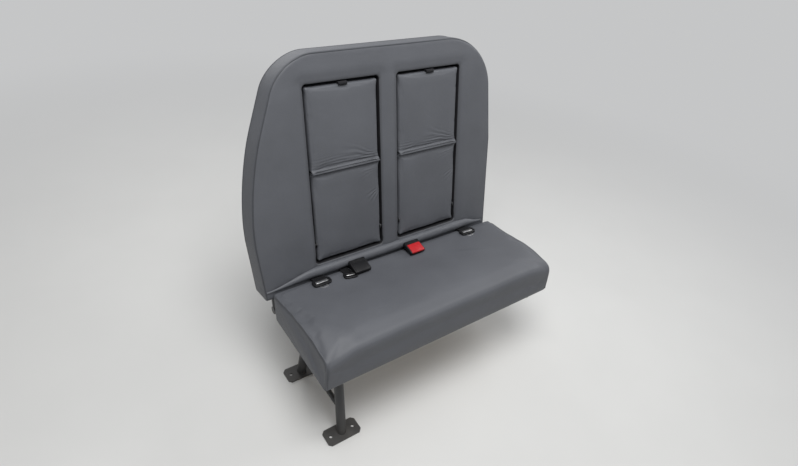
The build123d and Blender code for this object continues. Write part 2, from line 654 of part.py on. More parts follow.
                Polyline(
                    (0, PAD_TOP - PULL_DROP),
                    (-PULL_THICK, PAD_TOP - PULL_DROP + PULL_THICK),
                    (-PULL_THICK, PAD_TOP - 1),
                    (-1, PAD_TOP + PULL_RISE),
                    (0.5, PAD_TOP + PULL_RISE),
                    (PAD_BEVEL - 1, PAD_TOP - 3),
                    (PAD_BEVEL, PAD_TOP - PAD_BEVEL),
                    close=True,
                )
            make_face()
        extrude(amount=PULL_WIDTH)
        add(upper.part, mode=Mode.SUBTRACT)
    save(pull_strap.part, f"{seat}_pull_strap")

    # Pivot studs in the liner's sides
    for side_name, wall, inward in (
        ("left", left - POCKET_SIDE_GAP + LINER_WALL, 1),
        ("right", right + POCKET_SIDE_GAP - LINER_WALL, -1),
    ):
        reach = POCKET_SIDE_GAP - LINER_WALL + PAN_EDGE + STUD_HEAD_ROOM / 3
        with BuildPart() as stud:
            with BuildSketch(side_plane(wall)):
                with Locations((PIVOT_DEPTH, PIVOT_UP)):
                    Circle(STUD_RADIUS)
            extrude(amount=inward * reach)
            with BuildSketch(side_plane(wall + inward * reach)):
                with Locations((PIVOT_DEPTH, PIVOT_UP)):
                    RegularPolygon(STUD_HEAD_RADIUS, 6)
            extrude(amount=inward * STUD_HEAD_THICK)
        save(stud.part, f"{seat}_pivot_stud_{side_name}")

    hinge = spot(0, PAD_SEAM, -WELT_FORWARD)
    print(seat, "pivot", pivot, "fold hinge", hinge, "level at", 90 + RECLINE)
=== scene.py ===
# %% [markdown]
# # A school bus bench seat with two child seats folded into its back
# The imported solids are the fixed frame of this lesson: every piece made here sits where a
# solid sits, in metres. Steel tubes and plastic shells keep their solids and only get a
# finish. Everything soft is made again as what it is: covered foam, webbing and piping.
# The first cell loads the solids.

# %% Load the solids
import json
import math

import bmesh
import bpy
import numpy as np
from mathutils import Matrix, Vector, noise


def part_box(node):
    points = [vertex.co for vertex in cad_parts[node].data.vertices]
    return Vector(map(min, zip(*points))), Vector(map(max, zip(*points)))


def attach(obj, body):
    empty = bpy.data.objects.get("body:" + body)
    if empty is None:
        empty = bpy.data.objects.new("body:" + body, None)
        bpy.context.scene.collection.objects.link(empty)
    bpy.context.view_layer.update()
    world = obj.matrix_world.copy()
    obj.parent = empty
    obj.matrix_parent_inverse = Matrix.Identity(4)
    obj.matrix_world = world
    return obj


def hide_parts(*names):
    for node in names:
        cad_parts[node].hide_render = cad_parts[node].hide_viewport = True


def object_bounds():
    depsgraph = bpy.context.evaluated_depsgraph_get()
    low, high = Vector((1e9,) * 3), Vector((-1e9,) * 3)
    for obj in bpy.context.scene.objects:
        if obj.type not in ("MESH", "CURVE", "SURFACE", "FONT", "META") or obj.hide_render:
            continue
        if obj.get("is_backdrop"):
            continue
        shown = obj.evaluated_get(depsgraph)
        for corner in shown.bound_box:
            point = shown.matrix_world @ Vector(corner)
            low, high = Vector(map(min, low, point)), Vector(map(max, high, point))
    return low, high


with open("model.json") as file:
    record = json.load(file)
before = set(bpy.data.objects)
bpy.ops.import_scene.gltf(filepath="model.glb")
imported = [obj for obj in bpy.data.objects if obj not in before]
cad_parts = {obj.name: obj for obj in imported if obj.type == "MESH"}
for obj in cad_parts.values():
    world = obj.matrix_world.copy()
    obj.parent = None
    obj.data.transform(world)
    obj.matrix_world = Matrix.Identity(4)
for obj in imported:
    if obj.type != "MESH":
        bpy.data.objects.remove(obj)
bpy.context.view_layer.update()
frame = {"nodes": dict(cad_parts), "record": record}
scene = bpy.context.scene

# %% [markdown]
# The photograph was taken standing in the aisle, close to the seat and above it, with a
# wide lens. Its eye point was worked out from the bench's corners. The camera stands at that
# same point, so the perspective is the same, and turns to face the seat with a longer
# lens. The small roll keeps the seat leaning in the picture as it does in the photograph.

# %% Camera
eye = Vector((-0.612, -1.054, 1.639))
yaw, pitch, roll = 0.689, -0.623, 0.135
look = Vector((math.sin(yaw) * math.cos(pitch), math.cos(yaw) * math.cos(pitch), math.sin(pitch)))
level = Vector((math.cos(yaw), -math.sin(yaw), 0))
upright = level.cross(look)
picture_right = level * math.cos(roll) + upright * math.sin(roll)
picture_up = upright * math.cos(roll) - level * math.sin(roll)
camera = bpy.data.objects.new("camera", bpy.data.cameras.new("camera"))
turn = Matrix((picture_right, picture_up, -look)).transposed().to_4x4()
camera.matrix_world = Matrix.Translation(eye) @ turn
camera.data.lens = 24.4
scene.collection.objects.link(camera)
scene.camera = camera
print("camera looks along", [round(v, 3) for v in look])

# %% [markdown]
# The back leans by 11.6 degrees, so it is easier to model it lying flat: across the seat
# is x, up the slope is y and out towards the passenger is z. One matrix then stands the
# flat work up in its place. A second one does the same for things that lie on the cushion.

# %% Flat work and where it stands
bite = Vector((0, 0.175, 0.415))
recline = math.radians(11.6)
up_slope = Vector((0, math.sin(recline), math.cos(recline)))
outward = Vector((0, -math.cos(recline), math.sin(recline)))
on_back = Matrix((Vector((1, 0, 0)), up_slope, outward)).transposed().to_4x4()
on_back.translation = bite
cushion_slope = math.atan2(0.033, 0.236)
belt_rise = 0.005


def at_x(x):
    """Stands flat work on the back, with its own middle at x."""
    return on_back @ Matrix.Translation((x, 0, 0))


def on_cushion(x):
    """Stands flat work on the cushion at x. Its y runs back to the bite and z away from the top."""
    place = Matrix.Rotation(-cushion_slope, 4, "X")
    place.translation = Vector((x, bite.y + belt_rise * math.tan(recline), bite.z + belt_rise))
    return place


aisle_x, back_window_x = -0.128, 0.838
back_low, back_high = -0.026, 0.730
pad_width = 0.255
pad_left = {seat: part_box(f"{seat}_lower_pad")[0].x for seat in ("aisle", "window")}
print("pads start at", {seat: round(x, 4) for seat, x in pad_left.items()})

# %% [markdown]
# ## Finishes
# Shader maths is easier to read as sums than as boxes and wires. The small class below wraps
# a socket, so that adding or multiplying it makes the Math node. Its partners hold a node
# tree: one method makes every other kind of node, and a material adds its own helpers.

# %% Shader maths as sums
class Flow:
    """A shader socket that can be added, multiplied and so on."""

    def __init__(self, nodes, socket):
        self.nodes, self.socket = nodes, socket

    def maths(self, operation, first, second=0.0):
        return self.nodes.node("Math", {"operation": operation}, {0: first, 1: second})[0]

    def __add__(self, other):
        return self.maths("ADD", self, other)

    def __sub__(self, other):
        return self.maths("SUBTRACT", self, other)

    def __rsub__(self, other):
        return self.maths("SUBTRACT", other, self)

    def __mul__(self, other):
        return self.maths("MULTIPLY", self, other)

    def __gt__(self, other):
        return self.maths("GREATER_THAN", self, other)

    def __lt__(self, other):
        return self.maths("LESS_THAN", self, other)

    def __abs__(self):
        return self.maths("ABSOLUTE", self)

    def wave(self):
        return self.maths("SINE", self)

    def part(self):
        return self.maths("FRACT", self)

    def held(self):
        return self.nodes.node("Clamp", {}, {0: self})[0]

    __radd__ = __add__
    __rmul__ = __mul__


class Nodes:
    """The node tree of a material or a world, whose nodes are made by name."""

    def __init__(self, owner, surface):
        owner.use_nodes = True
        self.tree = owner.node_tree
        self.surface = self.tree.nodes[surface]
        self.lit = Flow(self, self.surface.outputs[0])

    def give(self, key, value, node=None):
        socket = (node or self.surface).inputs[key]
        if isinstance(value, Flow):
            self.tree.links.new(value.socket, socket)
        else:
            socket.default_value = value

    def node(self, kind, settings, sockets):
        made = self.tree.nodes.new("ShaderNode" + kind)
        for key, value in settings.items():
            setattr(made, key, value)
        for key, value in sockets.items():
            self.give(key, value, made)
        return [Flow(self, socket) for socket in made.outputs]


class Finish(Nodes):
    """A material, with the patterns that its colour, roughness and relief are made of."""

    def __init__(self, name, colour, roughness, **constants):
        self.material = bpy.data.materials.new(name)
        super().__init__(self.material, "Principled BSDF")
        self.give("Base Color", (*colour, 1))
        self.give("Roughness", roughness)
        for key, value in constants.items():
            self.give(key.replace("_", " "), value)

    def place(self):
        return self.node("TexCoord", {}, {})[3]

    def cloud(self, scale, detail=3.0, vector=None):
        """Soft noise around 0.5 at so many lumps a metre."""
        sockets = {"Vector": vector or self.place(), "Scale": scale, "Detail": detail}
        return self.node("TexNoise", {}, sockets)[0]

    def streaks(self, scale, detail):
        """Noise drawn out along x, with its own scale in each direction."""
        stretched = self.node("Mapping", {}, {"Vector": self.place(), "Scale": scale})[0]
        return self.cloud(1.0, detail, stretched)

    def tint(self, amount, first, second):
        """A colour between two, by a number from 0 to 1."""
        return self.node("Mix", {"data_type": "RGBA"}, {0: amount, 6: first, 7: second})[2]

    def relief(self, height, strength, depth):
        """Turns a height into a bumped normal, with the depth in metres."""
        sockets = {"Height": height, "Strength": strength, "Distance": depth}
        self.give("Normal", self.node("Bump", {}, sockets)[0])


def shade(colour, factor):
    """A colour made darker or lighter, as four numbers."""
    return (*[min(1, channel * factor) for channel in colour[:3]], 1)


print("shader helpers ready")

# %% [markdown]
# The cover is a heavy grey vinyl with a fine leather grain. On the real seat its colour is
# not even: it is a little lighter where backs have rubbed it, and faintly blotchy. Grain of
# about a millimetre is Voronoi cells with some noise, in object coordinates so that it keeps
# its size on every piece. An attribute on each mesh, painted later, is painted shade: it
# darkens the vinyl beside gaps, seams, grooves and the roll, where shade falls.

# %% Vinyl
def make_vinyl(name, colour):
    vinyl = Finish(name, colour, 0.5, Specular_IOR_Level=0.42)
    blotch = vinyl.cloud(7.0, 4.0)
    speck = vinyl.cloud(420.0, 2.0)
    amount = (blotch - 0.5) * 1.1 + (speck - 0.5) * 0.5 + 0.5
    body = vinyl.tint(amount.held(), shade(colour, 0.84), shade(colour, 1.17))
    # Painted shade: the attribute darkens the vinyl where shade falls beside gaps and seams.
    seam_shade = vinyl.node("Attribute", {"attribute_name": "painted_shade"}, {})[2]
    vinyl.give("Base Color", vinyl.tint((seam_shade * 0.85).held(), body, shade(colour, 0.18)))
    sockets = {"Vector": vinyl.place(), "Scale": 620.0}
    cells = vinyl.node("TexVoronoi", {"feature": "F1"}, sockets)[0]
    grain = cells * 0.7 + vinyl.cloud(1100.0, 2.0) * 0.6
    pull = vinyl.cloud(34.0, 3.0)
    vinyl.give("Roughness", 0.42 + (grain * 0.1) + (blotch * 0.12))
    vinyl.relief(grain + pull * 2.6, 0.55, 0.0006)
    return vinyl.material


grey_vinyl = make_vinyl("grey_vinyl", (0.083, 0.087, 0.098))
dark_vinyl = make_vinyl("dark_vinyl", (0.056, 0.059, 0.068))
# The piping is the cover's vinyl; its darker colour is painted shade for the seam line.
shaded_piping_vinyl = make_vinyl("shaded_piping_vinyl", (0.046, 0.049, 0.056))
print("vinyl", grey_vinyl.name, dark_vinyl.name, shaded_piping_vinyl.name)

# %% [markdown]
# Seat belt webbing is woven: fine ribs run along it and picks cross them, and two rows of
# thread run close to its edges. The pattern follows the strap, so it reads the strap's
# own UV map, whose units are metres across and along.

# %% Webbing
def make_webbing(name, colour, half_width):
    rib_width, pick_length, thread_inset = 0.0021, 0.0014, 0.0035
    webbing = Finish(name, colour, 0.78, Specular_IOR_Level=0.2)
    uv = webbing.node("TexCoord", {}, {})[2]
    across, along, _ = webbing.node("SeparateXYZ", {}, {0: uv})
    rib = (across * (2 * math.pi / rib_width)).wave()
    pick = (along * (2 * math.pi / pick_length) + rib * 1.4).wave()
    edge = abs(abs(across) - (half_width - thread_inset)) < 0.0006
    stitch = edge * ((along * 260.0).part() < 0.62)
    weave = (rib * 0.5 + 0.5) * 0.6 + (pick * 0.5 + 0.5) * 0.4
    cloth = webbing.tint(weave, shade(colour, 0.55), shade(colour, 1.9))
    webbing.give("Base Color", webbing.tint(stitch, cloth, shade(colour, 4.2)))
    webbing.give("Roughness", 0.7 + weave * 0.15)
    webbing.relief(weave + stitch * 0.8, 0.6, 0.0004)
    return webbing.material


belt_webbing = make_webbing("belt_webbing", (0.006, 0.006, 0.007), 0.0235)
harness_webbing = make_webbing("harness_webbing", (0.009, 0.009, 0.0105), 0.019)
print("webbing", belt_webbing.name, harness_webbing.name)

# %% [markdown]
# The hard parts need six more finishes: moulded plastic with a fine spark texture, in
# black, in the liners' softer black and in the red of a push button, plated steel, black
# powder coat with its orange peel and some dust near the floor, and plywood.

# %% Plastic
def make_plastic(name, colour, roughness, grain=1.0):
    plastic = Finish(name, colour, roughness, Specular_IOR_Level=0.3)
    spark = plastic.cloud(1400.0, 2.0)
    rub = plastic.cloud(30.0, 3.0)
    plastic.give("Base Color", plastic.tint(rub, shade(colour, 0.8), shade(colour, 1.35)))
    plastic.give("Roughness", roughness - 0.06 + rub * 0.16)
    plastic.relief(spark, 0.35 * grain, 0.0003)
    return plastic.material


black_plastic = make_plastic("black_plastic", (0.0055, 0.0055, 0.0065), 0.38)
liner_plastic = make_plastic("liner_plastic", (0.016, 0.016, 0.018), 0.6, 2.0)
red_plastic = make_plastic("red_plastic", (0.37, 0.013, 0.017), 0.34, 0.5)
print("plastics", 3)

# %% Steel, powder coat and wood
steel = Finish("plated_steel", (0.62, 0.62, 0.63), 0.3, Metallic=1.0)
brushed = steel.streaks((60, 900, 900), 3.0)
smear = steel.cloud(45.0, 2.0)
steel.give("Base Color", steel.tint(smear, (0.46, 0.46, 0.47, 1), (0.72, 0.72, 0.72, 1)))
steel.give("Roughness", 0.2 + brushed * 0.2 + smear * 0.1)
steel.relief(brushed, 0.2, 0.0001)

coat_colour, dust_top = (0.014, 0.0145, 0.016), 0.16
coat = Finish("black_powder_coat", coat_colour, 0.42, Specular_IOR_Level=0.5)
peel = coat.cloud(300.0, 2.0)
chips = coat.cloud(85.0, 5.0) > 0.735
height = coat.node("SeparateXYZ", {}, {0: coat.place()})[2]
dust = ((dust_top - height) * 5.0).held() * coat.cloud(22.0, 4.0)
clean = coat.tint(peel, shade(coat_colour, 0.8), shade(coat_colour, 1.5))
worn = coat.tint(chips * 0.6, clean, (0.14, 0.14, 0.145, 1))
coat.give("Base Color", coat.tint((dust * 0.5).held(), worn, (0.16, 0.15, 0.135, 1)))
coat.give("Roughness", 0.36 + peel * 0.14 + dust * 0.4)
coat.relief(peel - chips * 0.5, 0.4, 0.0004)

wood = Finish("plywood", (0.42, 0.3, 0.17), 0.65)
fibre = wood.streaks((3, 70, 420), 5.0)
wood.give("Base Color", wood.tint(fibre, (0.27, 0.17, 0.08, 1), (0.5, 0.37, 0.21, 1)))
wood.give("Roughness", 0.58 + fibre * 0.2)
wood.relief(fibre, 0.4, 0.0005)
plated_steel = steel.material
print("steel, coat and wood", 3)

# %% [markdown]
# The pieces whose solids already have the right shape only change their finish. Each
# solid's material slot in the record says which one it takes. A table also gives each finish
# its slot, and three finishes share a slot with another one.

# %% Finish the solids that stay
by_slot = {
    "vinyl": grey_vinyl,
    "vinyl_dark": dark_vinyl,
    "webbing": belt_webbing,
    "black_plastic": black_plastic,
    "bare_steel": plated_steel,
    "black_paint": coat.material,
    "plywood": wood.material,
    "liner_plastic": liner_plastic,
}
slot_of = {finish: slot for slot, finish in by_slot.items()}
slot_of |= {shaded_piping_vinyl: "vinyl", harness_webbing: "webbing", red_plastic: "black_plastic"}
for part in frame["record"]["subparts"]:
    solid = frame["nodes"][part["node"]]
    solid.data.materials.clear()
    solid.data.materials.append(by_slot[part["material_slot"]])

# %% [markdown]
# Every new piece goes through the same door: its mesh is stood up in place, its normals are
# made to point outwards, it is shaded smooth where it is round, and it gets its finish, the
# moving body it rides on and the solids it stands for, which are hidden.

# %% Finish a piece
def place_piece(name, shape, body, finish, stand=None, replaces=(), sharp=40):
    """Makes an object from a bmesh and hands it to its body."""
    if stand is not None:
        bmesh.ops.transform(shape, matrix=stand, verts=shape.verts)
    bmesh.ops.recalc_face_normals(shape, faces=shape.faces)
    mesh = bpy.data.meshes.new(name)
    shape.to_mesh(mesh)
    shape.free()
    mesh.shade_smooth()
    mesh.set_sharp_from_angle(angle=math.radians(sharp))
    piece = bpy.data.objects.new(name, mesh)
    scene.collection.objects.link(piece)
    mesh.materials.append(finish)
    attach(piece, body)
    if replaces:
        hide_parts(*replaces)
    return piece


# %% [markdown]
# Three small helpers shape nearly every piece below: one rounds edges or corners with a
# bevel, one makes a flat face with rounded corners, and one cuts a shape with a plane.
# Two more, rise and fall, are soft steps. A change that is multiplied by one of them fades
# in or out over a distance, so that it leaves no line on the cover.

# %% Round off, cut and fade
def round_off(shape, geometry, radius, steps, affect="EDGES"):
    """Bevels edges, or the corners of a flat face, to a quarter circle."""
    bmesh.ops.bevel(
        shape, geom=geometry, offset=radius, segments=steps, profile=0.5, affect=affect,
        material=-1,
    )


def rounded_sheet(points, roundings=(), finer=1):
    """One flat face through points. Each rounding is a corner's index, radius and steps."""
    sheet = bmesh.new()
    corners = [sheet.verts.new(point) for point in points]
    sheet.faces.new(corners)
    for index, radius, steps in roundings:
        round_off(sheet, [corners[index]], radius, steps * finer, "VERTICES")
    return sheet


def cut(shape, axis, at):
    """Cuts a shape with the plane where x, for axis 0, or y, for axis 1, is at."""
    point, normal = Vector(), Vector()
    point[axis], normal[axis] = at, 1
    geometry = shape.verts[:] + shape.edges[:] + shape.faces[:]
    bmesh.ops.bisect_plane(shape, geom=geometry, plane_co=point, plane_no=normal, dist=1e-5)


def points_in(geometry):
    """The points among what an operator made."""
    return [part for part in geometry if isinstance(part, bmesh.types.BMVert)]


def rise(value, start, end):
    """Climbs smoothly from 0 at start to 1 at end."""
    share = min(1, max(0, (value - start) / (end - start)))
    return share * share * (3 - 2 * share)


def fall(value, start, end):
    """Drops smoothly from 1 at start to 0 at end."""
    return 1 - rise(value, start, end)


print("halfway up a soft step is", rise(0.5, 0, 1))

# %% [markdown]
# ## The padded back
# The real back is one foam block in a sewn cover: a front panel, a band round the side and
# a rear panel, with the two pads' pockets let into the front. Here it starts as a single
# face with seven corners. Bevelling a corner vertex rounds it in the flat and an
# extrusion gives the block. A bevel as wide as the rear rim's would fold over itself on an
# outline of short edges, so the rims are rounded by small insets, each at its own height.

# %% Outline of the back, extruded
shoulder_y = 0.362
outline = (
    (aisle_x + 0.014, back_low), (aisle_x, 0.170), (aisle_x, shoulder_y),
    (aisle_x + 0.137, back_high), (back_window_x - 0.035, back_high),
    (back_window_x, 0.352), (back_window_x, back_low),
)
rounded_corners = ((2, 0.162, 10), (3, 0.107, 14), (4, 0.176, 16))
front_round, rear_round = 0.0095, 0.026


def up_share(y):
    """How far up the back a point is, from 0 at its foot to 1 at its top."""
    return (y - back_low) / (back_high - back_low)


def rear_z(y):
    """The rear face, which comes nearer to the front towards the top."""
    return -0.114 + 0.016 * up_share(y)


def round_rim(shape, cap, radius, steps, level):
    """Rounds the rim of a flat cap with insets that climb a quarter circle."""
    done = 0.0
    for step in range(1, steps + 1):
        turn = math.pi / 2 * step / steps
        reach = radius * (1 - math.cos(turn))
        bmesh.ops.inset_region(shape, faces=[cap], thickness=reach - done, use_even_offset=True)
        done = reach
        for vert in cap.verts:
            vert.co.z = level(vert.co.y, radius * (1 - math.sin(turn)))


back = rounded_sheet([(x, y, -front_round) for x, y in outline], rounded_corners)
for vert in points_in(bmesh.ops.extrude_face_region(back, geom=back.faces[:])["geom"]):
    vert.co.z = rear_z(vert.co.y) + rear_round
back.normal_update()
caps = sorted((f for f in back.faces if len(f.verts) > 20), key=lambda f: f.calc_center_median().z)
round_rim(back, caps[0], rear_round, 7, lambda y, rest: rear_z(y) + rest)
round_rim(back, caps[1], front_round, 4, lambda y, rest: -rest)
print("back outline", len(back.verts), "points")

# %% [markdown]
# Cutting the block with planes along the pockets' sides leaves the pockets as faces of
# their own, which can be pushed in. More planes, a centimetre apart, give the big panels
# enough points to be shaped like foam. Cuts are exact, so the pockets stay square.

# %% Pockets
pocket_low, pocket_high, pocket_depth = 0.047 - 0.0004, 0.644 + 0.0004, 0.0826
pocket_gap = 0.0084
pocket_sides = [(left - pocket_gap, left + pad_width + pocket_gap) for left in pad_left.values()]
for x in sum(pocket_sides, ()):
    cut(back, 0, x)
for y in (pocket_low, pocket_high):
    cut(back, 1, y)


def in_pocket(face):
    """Whether a face of the front lies within a pocket's outline."""
    x, y, z = face.calc_center_median()
    across = any(left < x < right for left, right in pocket_sides)
    return across and pocket_low < y < pocket_high and z > -0.001


floors = [face for face in back.faces if in_pocket(face)]
pushed = points_in(bmesh.ops.extrude_face_region(back, geom=floors)["geom"])
bmesh.ops.delete(back, geom=floors, context="FACES_ONLY")
bmesh.ops.translate(back, vec=(0, 0, -pocket_depth), verts=pushed)


def is_pocket_corner(edge):
    """Whether an edge runs from a corner of a pocket's rim down to its floor."""
    one, two = (v.co for v in edge.verts)
    beside = any(min(abs(one.x - l), abs(one.x - r)) < 1e-4 for l, r in pocket_sides)
    level_with = min(abs(one.y - pocket_low), abs(one.y - pocket_high)) < 1e-4
    return beside and level_with and abs(one.z - two.z) > 0.05 and max(one.z, two.z) > -0.001


def is_pocket_rim(edge):
    """Whether an edge lies in the front and has a pocket's wall on one side."""
    if max(abs(v.co.z) for v in edge.verts) > 1e-4 or len(edge.link_faces) != 2:
        return False
    facing = sorted(abs(f.normal.z) for f in edge.link_faces)
    return facing[0] < 0.3 and facing[1] > 0.9


pocket_corners = [e for e in back.edges if is_pocket_corner(e)]
round_off(back, pocket_corners, 0.014, 4)
back.normal_update()
pocket_rims = [e for e in back.edges if is_pocket_rim(e)]
round_off(back, pocket_rims, 0.005, 4)
print("pocket corners", len(pocket_corners), "rims", len(pocket_rims))

# %% A grid of points
grid_size = 0.01
for step in range(1, 97):
    cut(back, 0, aisle_x + step * grid_size)
for step in range(1, 76):
    cut(back, 1, back_low + step * grid_size)
print("back cut to", len(back.faces), "faces")

# %% [markdown]
# Foam under stretched vinyl is never flat. The front swells a few millimetres between the
# seams and the pockets and rolls over softly into each pocket, and the rear panel swells
# too. A smooth function of the distance to the nearest pocket and to the rim does that. At
# a pocket's rim the cover laps a little over the liner, so the gap round a pad is narrow.

# %% Swell the panels
def pocket_distance(x, y):
    """How far a point of the front is from the nearest pocket, 0 inside it."""
    dy = max(pocket_low - y, 0, y - pocket_high)
    return min(math.hypot(max(left - x, 0, x - right), dy) for left, right in pocket_sides)


def rim_distance(x, y):
    """Roughly how far a point is from the back's outer edge."""
    slant = (x - aisle_x) - max(0, y - shoulder_y) * 0.372
    return min(slant, back_window_x - x, back_high - y, y - back_low)


beside_rim = 0.016


def lap(x, y):
    """The way to the nearest pocket's inside, for points beside its rim."""
    left, right = min(pocket_sides, key=lambda sides: abs(x - sum(sides) / 2))
    across = (x < left + beside_rim) - (x > right - beside_rim)
    along = (y < pocket_low + beside_rim) - (y > pocket_high - beside_rim)
    way = Vector((across, along, 0))
    return way.normalized() if way.length else way


front_skin, front_swell, rear_swell, roll_depth = -0.012, 0.0035, 0.0045, 0.0044
lump_depth, lap_reach, lap_at_foot = 0.0014, 0.0034, 0.0012
for vert in back.verts:
    x, y, z = vert.co
    from_rim = rim_distance(x, y)
    if z > front_skin:
        near = pocket_distance(x, y)
        swell = front_swell * rise(from_rim, 0.0, 0.07)
        roll_in = roll_depth * fall(near, 0.0, 0.032)
        lump = noise.noise(Vector((x * 9, y * 9, 0.3))) * lump_depth
        vert.co.z += (swell - roll_in + lump) * rise(z, front_skin, -0.001)
        reach = lap_reach if y > pocket_low + 0.03 else lap_at_foot
        vert.co += lap(x, y) * reach * rise(z, -0.007, -0.001) * fall(near, 0.0, 0.012)
    else:
        lump = noise.noise(Vector((x * 7, y * 7, 4.1))) * lump_depth
        fade = fall(z - rear_z(y), 0.0, 0.006) * rise(from_rim, 0.02, 0.06)
        vert.co.z -= (rear_swell * rise(from_rim, 0.03, 0.16) + lump) * fade
print("back swollen")

# %% Paint shade beside the pockets and the roll, and stand the back up
roll_start, roll_end = aisle_x + 0.016, back_window_x - 0.018
roll_y, roll_half_height, roll_half_depth = 0.0245, 0.0175, 0.0165


def roll_at(x):
    """How high the roll across the foot of the back lies at x, and how full it is there."""
    full = 0.22 + 0.78 * rise(x, roll_start, roll_start + 0.19)
    full *= 0.25 + 0.75 * fall(x, roll_end - 0.11, roll_end)
    drop = 0.020 * fall(x, roll_start, roll_start + 0.17)
    drop += 0.014 * rise(x, roll_end - 0.10, roll_end)
    return roll_y - drop, full


back_shade = back.verts.layers.float.new("painted_shade")
for vert in back.verts:
    x, y, z = vert.co
    # Painted shade: darker beside each pocket's rim, in the gap round the pad, and above the roll.
    near_pocket = fall(pocket_distance(x, y), 0.0, 0.008) if z > -0.09 else 0.0
    height, full = roll_at(x)
    near_roll = fall(abs(y - height - 0.017 * full), 0.0, 0.007)
    vert[back_shade] = max(0.4 * near_pocket, 0.5 * near_roll * rise(z, -0.03, -0.01))
back_cover = place_piece(
    "back_cover", back, "bench", grey_vinyl, on_back, ("back_cushion", "back_rear_panel"),
)
print("back cover", len(back_cover.data.polygons), "faces")

# %% [markdown]
# ## Stuffed pieces
# A pad is foam in a sewn cover, so it swells between its edges and its edges are soft.
# Each one starts as a rounded block slightly smaller than its solid. An even remesh gives
# it points everywhere, then Blender's cloth with air pressure blows it up for twenty
# frames. No point may move further than a cap, so that the pad stays in its own space.

# %% Blocks and stuffing
def soft_block(low, high, radius, steps=3):
    """A block between two corners with all its edges rounded."""
    low, high = Vector(low), Vector(high)
    shape = bmesh.new()
    bmesh.ops.create_cube(shape, size=1)
    bmesh.ops.scale(shape, vec=high - low, verts=shape.verts)
    bmesh.ops.translate(shape, vec=(low + high) / 2, verts=shape.verts)
    round_off(shape, shape.edges[:], radius, steps)
    return shape


def bake(form):
    """Gives an object the mesh that its modifiers make, and drops them."""
    graph = bpy.context.evaluated_depsgraph_get()
    done = bpy.data.meshes.new_from_object(form.evaluated_get(graph))
    form.modifiers.clear()
    form.data = done


def points_of(mesh):
    points = np.zeros(len(mesh.vertices) * 3)
    mesh.vertices.foreach_get("co", points)
    return points.reshape(-1, 3)


def stuffed(shape, voxel, cap, pressure=4.0, finer=True, held=None, pull_in=0.3):
    """An even remesh of a closed shape, blown up like a filled cover. Of the sideways pull
    at its edges it keeps the share pull_in."""
    form = bpy.data.objects.new("form", bpy.data.meshes.new("form"))
    shape.to_mesh(form.data)
    shape.free()
    scene.collection.objects.link(form)
    even = form.modifiers.new("even", "REMESH")
    even.mode, even.voxel_size = "VOXEL", voxel
    bake(form)
    start = points_of(form.data)
    cloth = form.modifiers.new("cover", "CLOTH").settings
    cloth.quality, cloth.mass = 5, 0.3
    cloth.tension_stiffness = cloth.compression_stiffness = 15
    cloth.bending_stiffness = 0.5
    cloth.use_pressure, cloth.uniform_pressure_force = True, pressure
    cloth.effector_weights.gravity = 0
    if held:
        group = form.vertex_groups.new(name="held")
        group.add([i for i, p in enumerate(start) if held(p)], 1.0, "REPLACE")
        cloth.vertex_group_mass = "held"
    for number in range(1, 21):
        scene.frame_set(number)
    bake(form)
    scene.frame_set(1)
    moved = points_of(form.data) - start
    moved[:, :2] *= pull_in
    length = np.maximum(np.linalg.norm(moved, axis=1), 1e-9)
    moved *= np.minimum(1, cap / length)[:, None]
    form.data.vertices.foreach_set("co", (start + moved).ravel())
    if finer:
        form.modifiers.new("finer", "SUBSURF").levels = 1
        bake(form)
    shape = bmesh.new()
    shape.from_mesh(form.data)
    bpy.data.objects.remove(form)
    return shape


print("stuffing ready")

# %% [markdown]
# Stretched vinyl creases in fans: small ridges that spread from where the cover is pulled,
# strongest close to that point. The photograph shows them above each fold seam, from its
# window end, and at the right of each lower pad. Fine level ripples run along the seam.

# %% Creases
def press_fan(shape, centre, toward, spread, count, reach, depth):
    """Presses ridges that spread from a point into the front of a pad."""
    for vert in shape.verts:
        run = vert.co.xy - Vector(centre)
        if vert.co.z < -0.014 or not 1e-4 < run.length < reach:
            continue
        angle = math.atan2(run.y, run.x) - toward
        angle = (angle + math.pi) % (2 * math.pi) - math.pi
        fade = fall(abs(angle), spread * 0.3, spread) * rise(run.length, 0, 0.02)
        fade *= fall(run.length, reach * 0.3, reach)
        wander = noise.noise(vert.co * 22) * 2.2
        vert.co.z += depth * fade * math.sin(angle * count + wander)


def press_ripples(shape, low, high, spacing, depth):
    """Presses level ripples into the front of a pad between two heights."""
    for vert in shape.verts:
        if vert.co.z < -0.014 or not low < vert.co.y < high:
            continue
        fade = fall(vert.co.y, low + (high - low) * 0.2, high)
        fade *= rise(vert.co.y, low, low + 0.010)
        along = 0.55 + 0.9 * noise.noise(Vector((vert.co.x * 15, 2.0, vert.co.y * 30)))
        phase = (vert.co.y - low) / spacing * 2 * math.pi + noise.noise(vert.co * 9) * 4
        vert.co.z += depth * fade * max(0, along) * math.sin(phase)


print("crease tools ready")

# %% [markdown]
# The cloth puckers a pad's corners more than the real cover does, so the front is drawn part
# of the way back to an even crown. Where the two front pads meet, the cover is pulled up to
# the seam between them. The outermost millimetres get painted shade, from the gap round the pad.

# %% Crowns and edges of the front pads
def inside_by(point, low, high):
    """How far a point is inside the outline of a pad between two corners."""
    return min(point.x - low[0], high[0] - point.x, point.y - low[1], high[1] - point.y)


def calm(shape, low, high, crown, share=0.6):
    """Draws a pad's front towards an even crown, so that its corners do not pucker."""
    for vert in shape.verts:
        if vert.co.z < -0.006:
            continue
        inside = inside_by(vert.co, low, high)
        even = high[2] + crown * rise(inside, 0.0, 0.045)
        vert.co.z += (even - vert.co.z) * share * rise(inside, 0.001, 0.006)


def meet_welt(shape, edge, side, lift, width):
    """Lifts a pad's front to the welt along its edge at y, on side +1 above or -1 below."""
    for vert in shape.verts:
        if vert.co.z < -0.012:
            continue
        share = fall((vert.co.y - edge) * side, 0.0015, width)
        vert.co.y -= side * 0.0014 * share * rise(vert.co.z, -0.012, -0.006)
        if vert.co.z > -0.0085:
            vert.co.z += max(0.0, lift - vert.co.z) * share


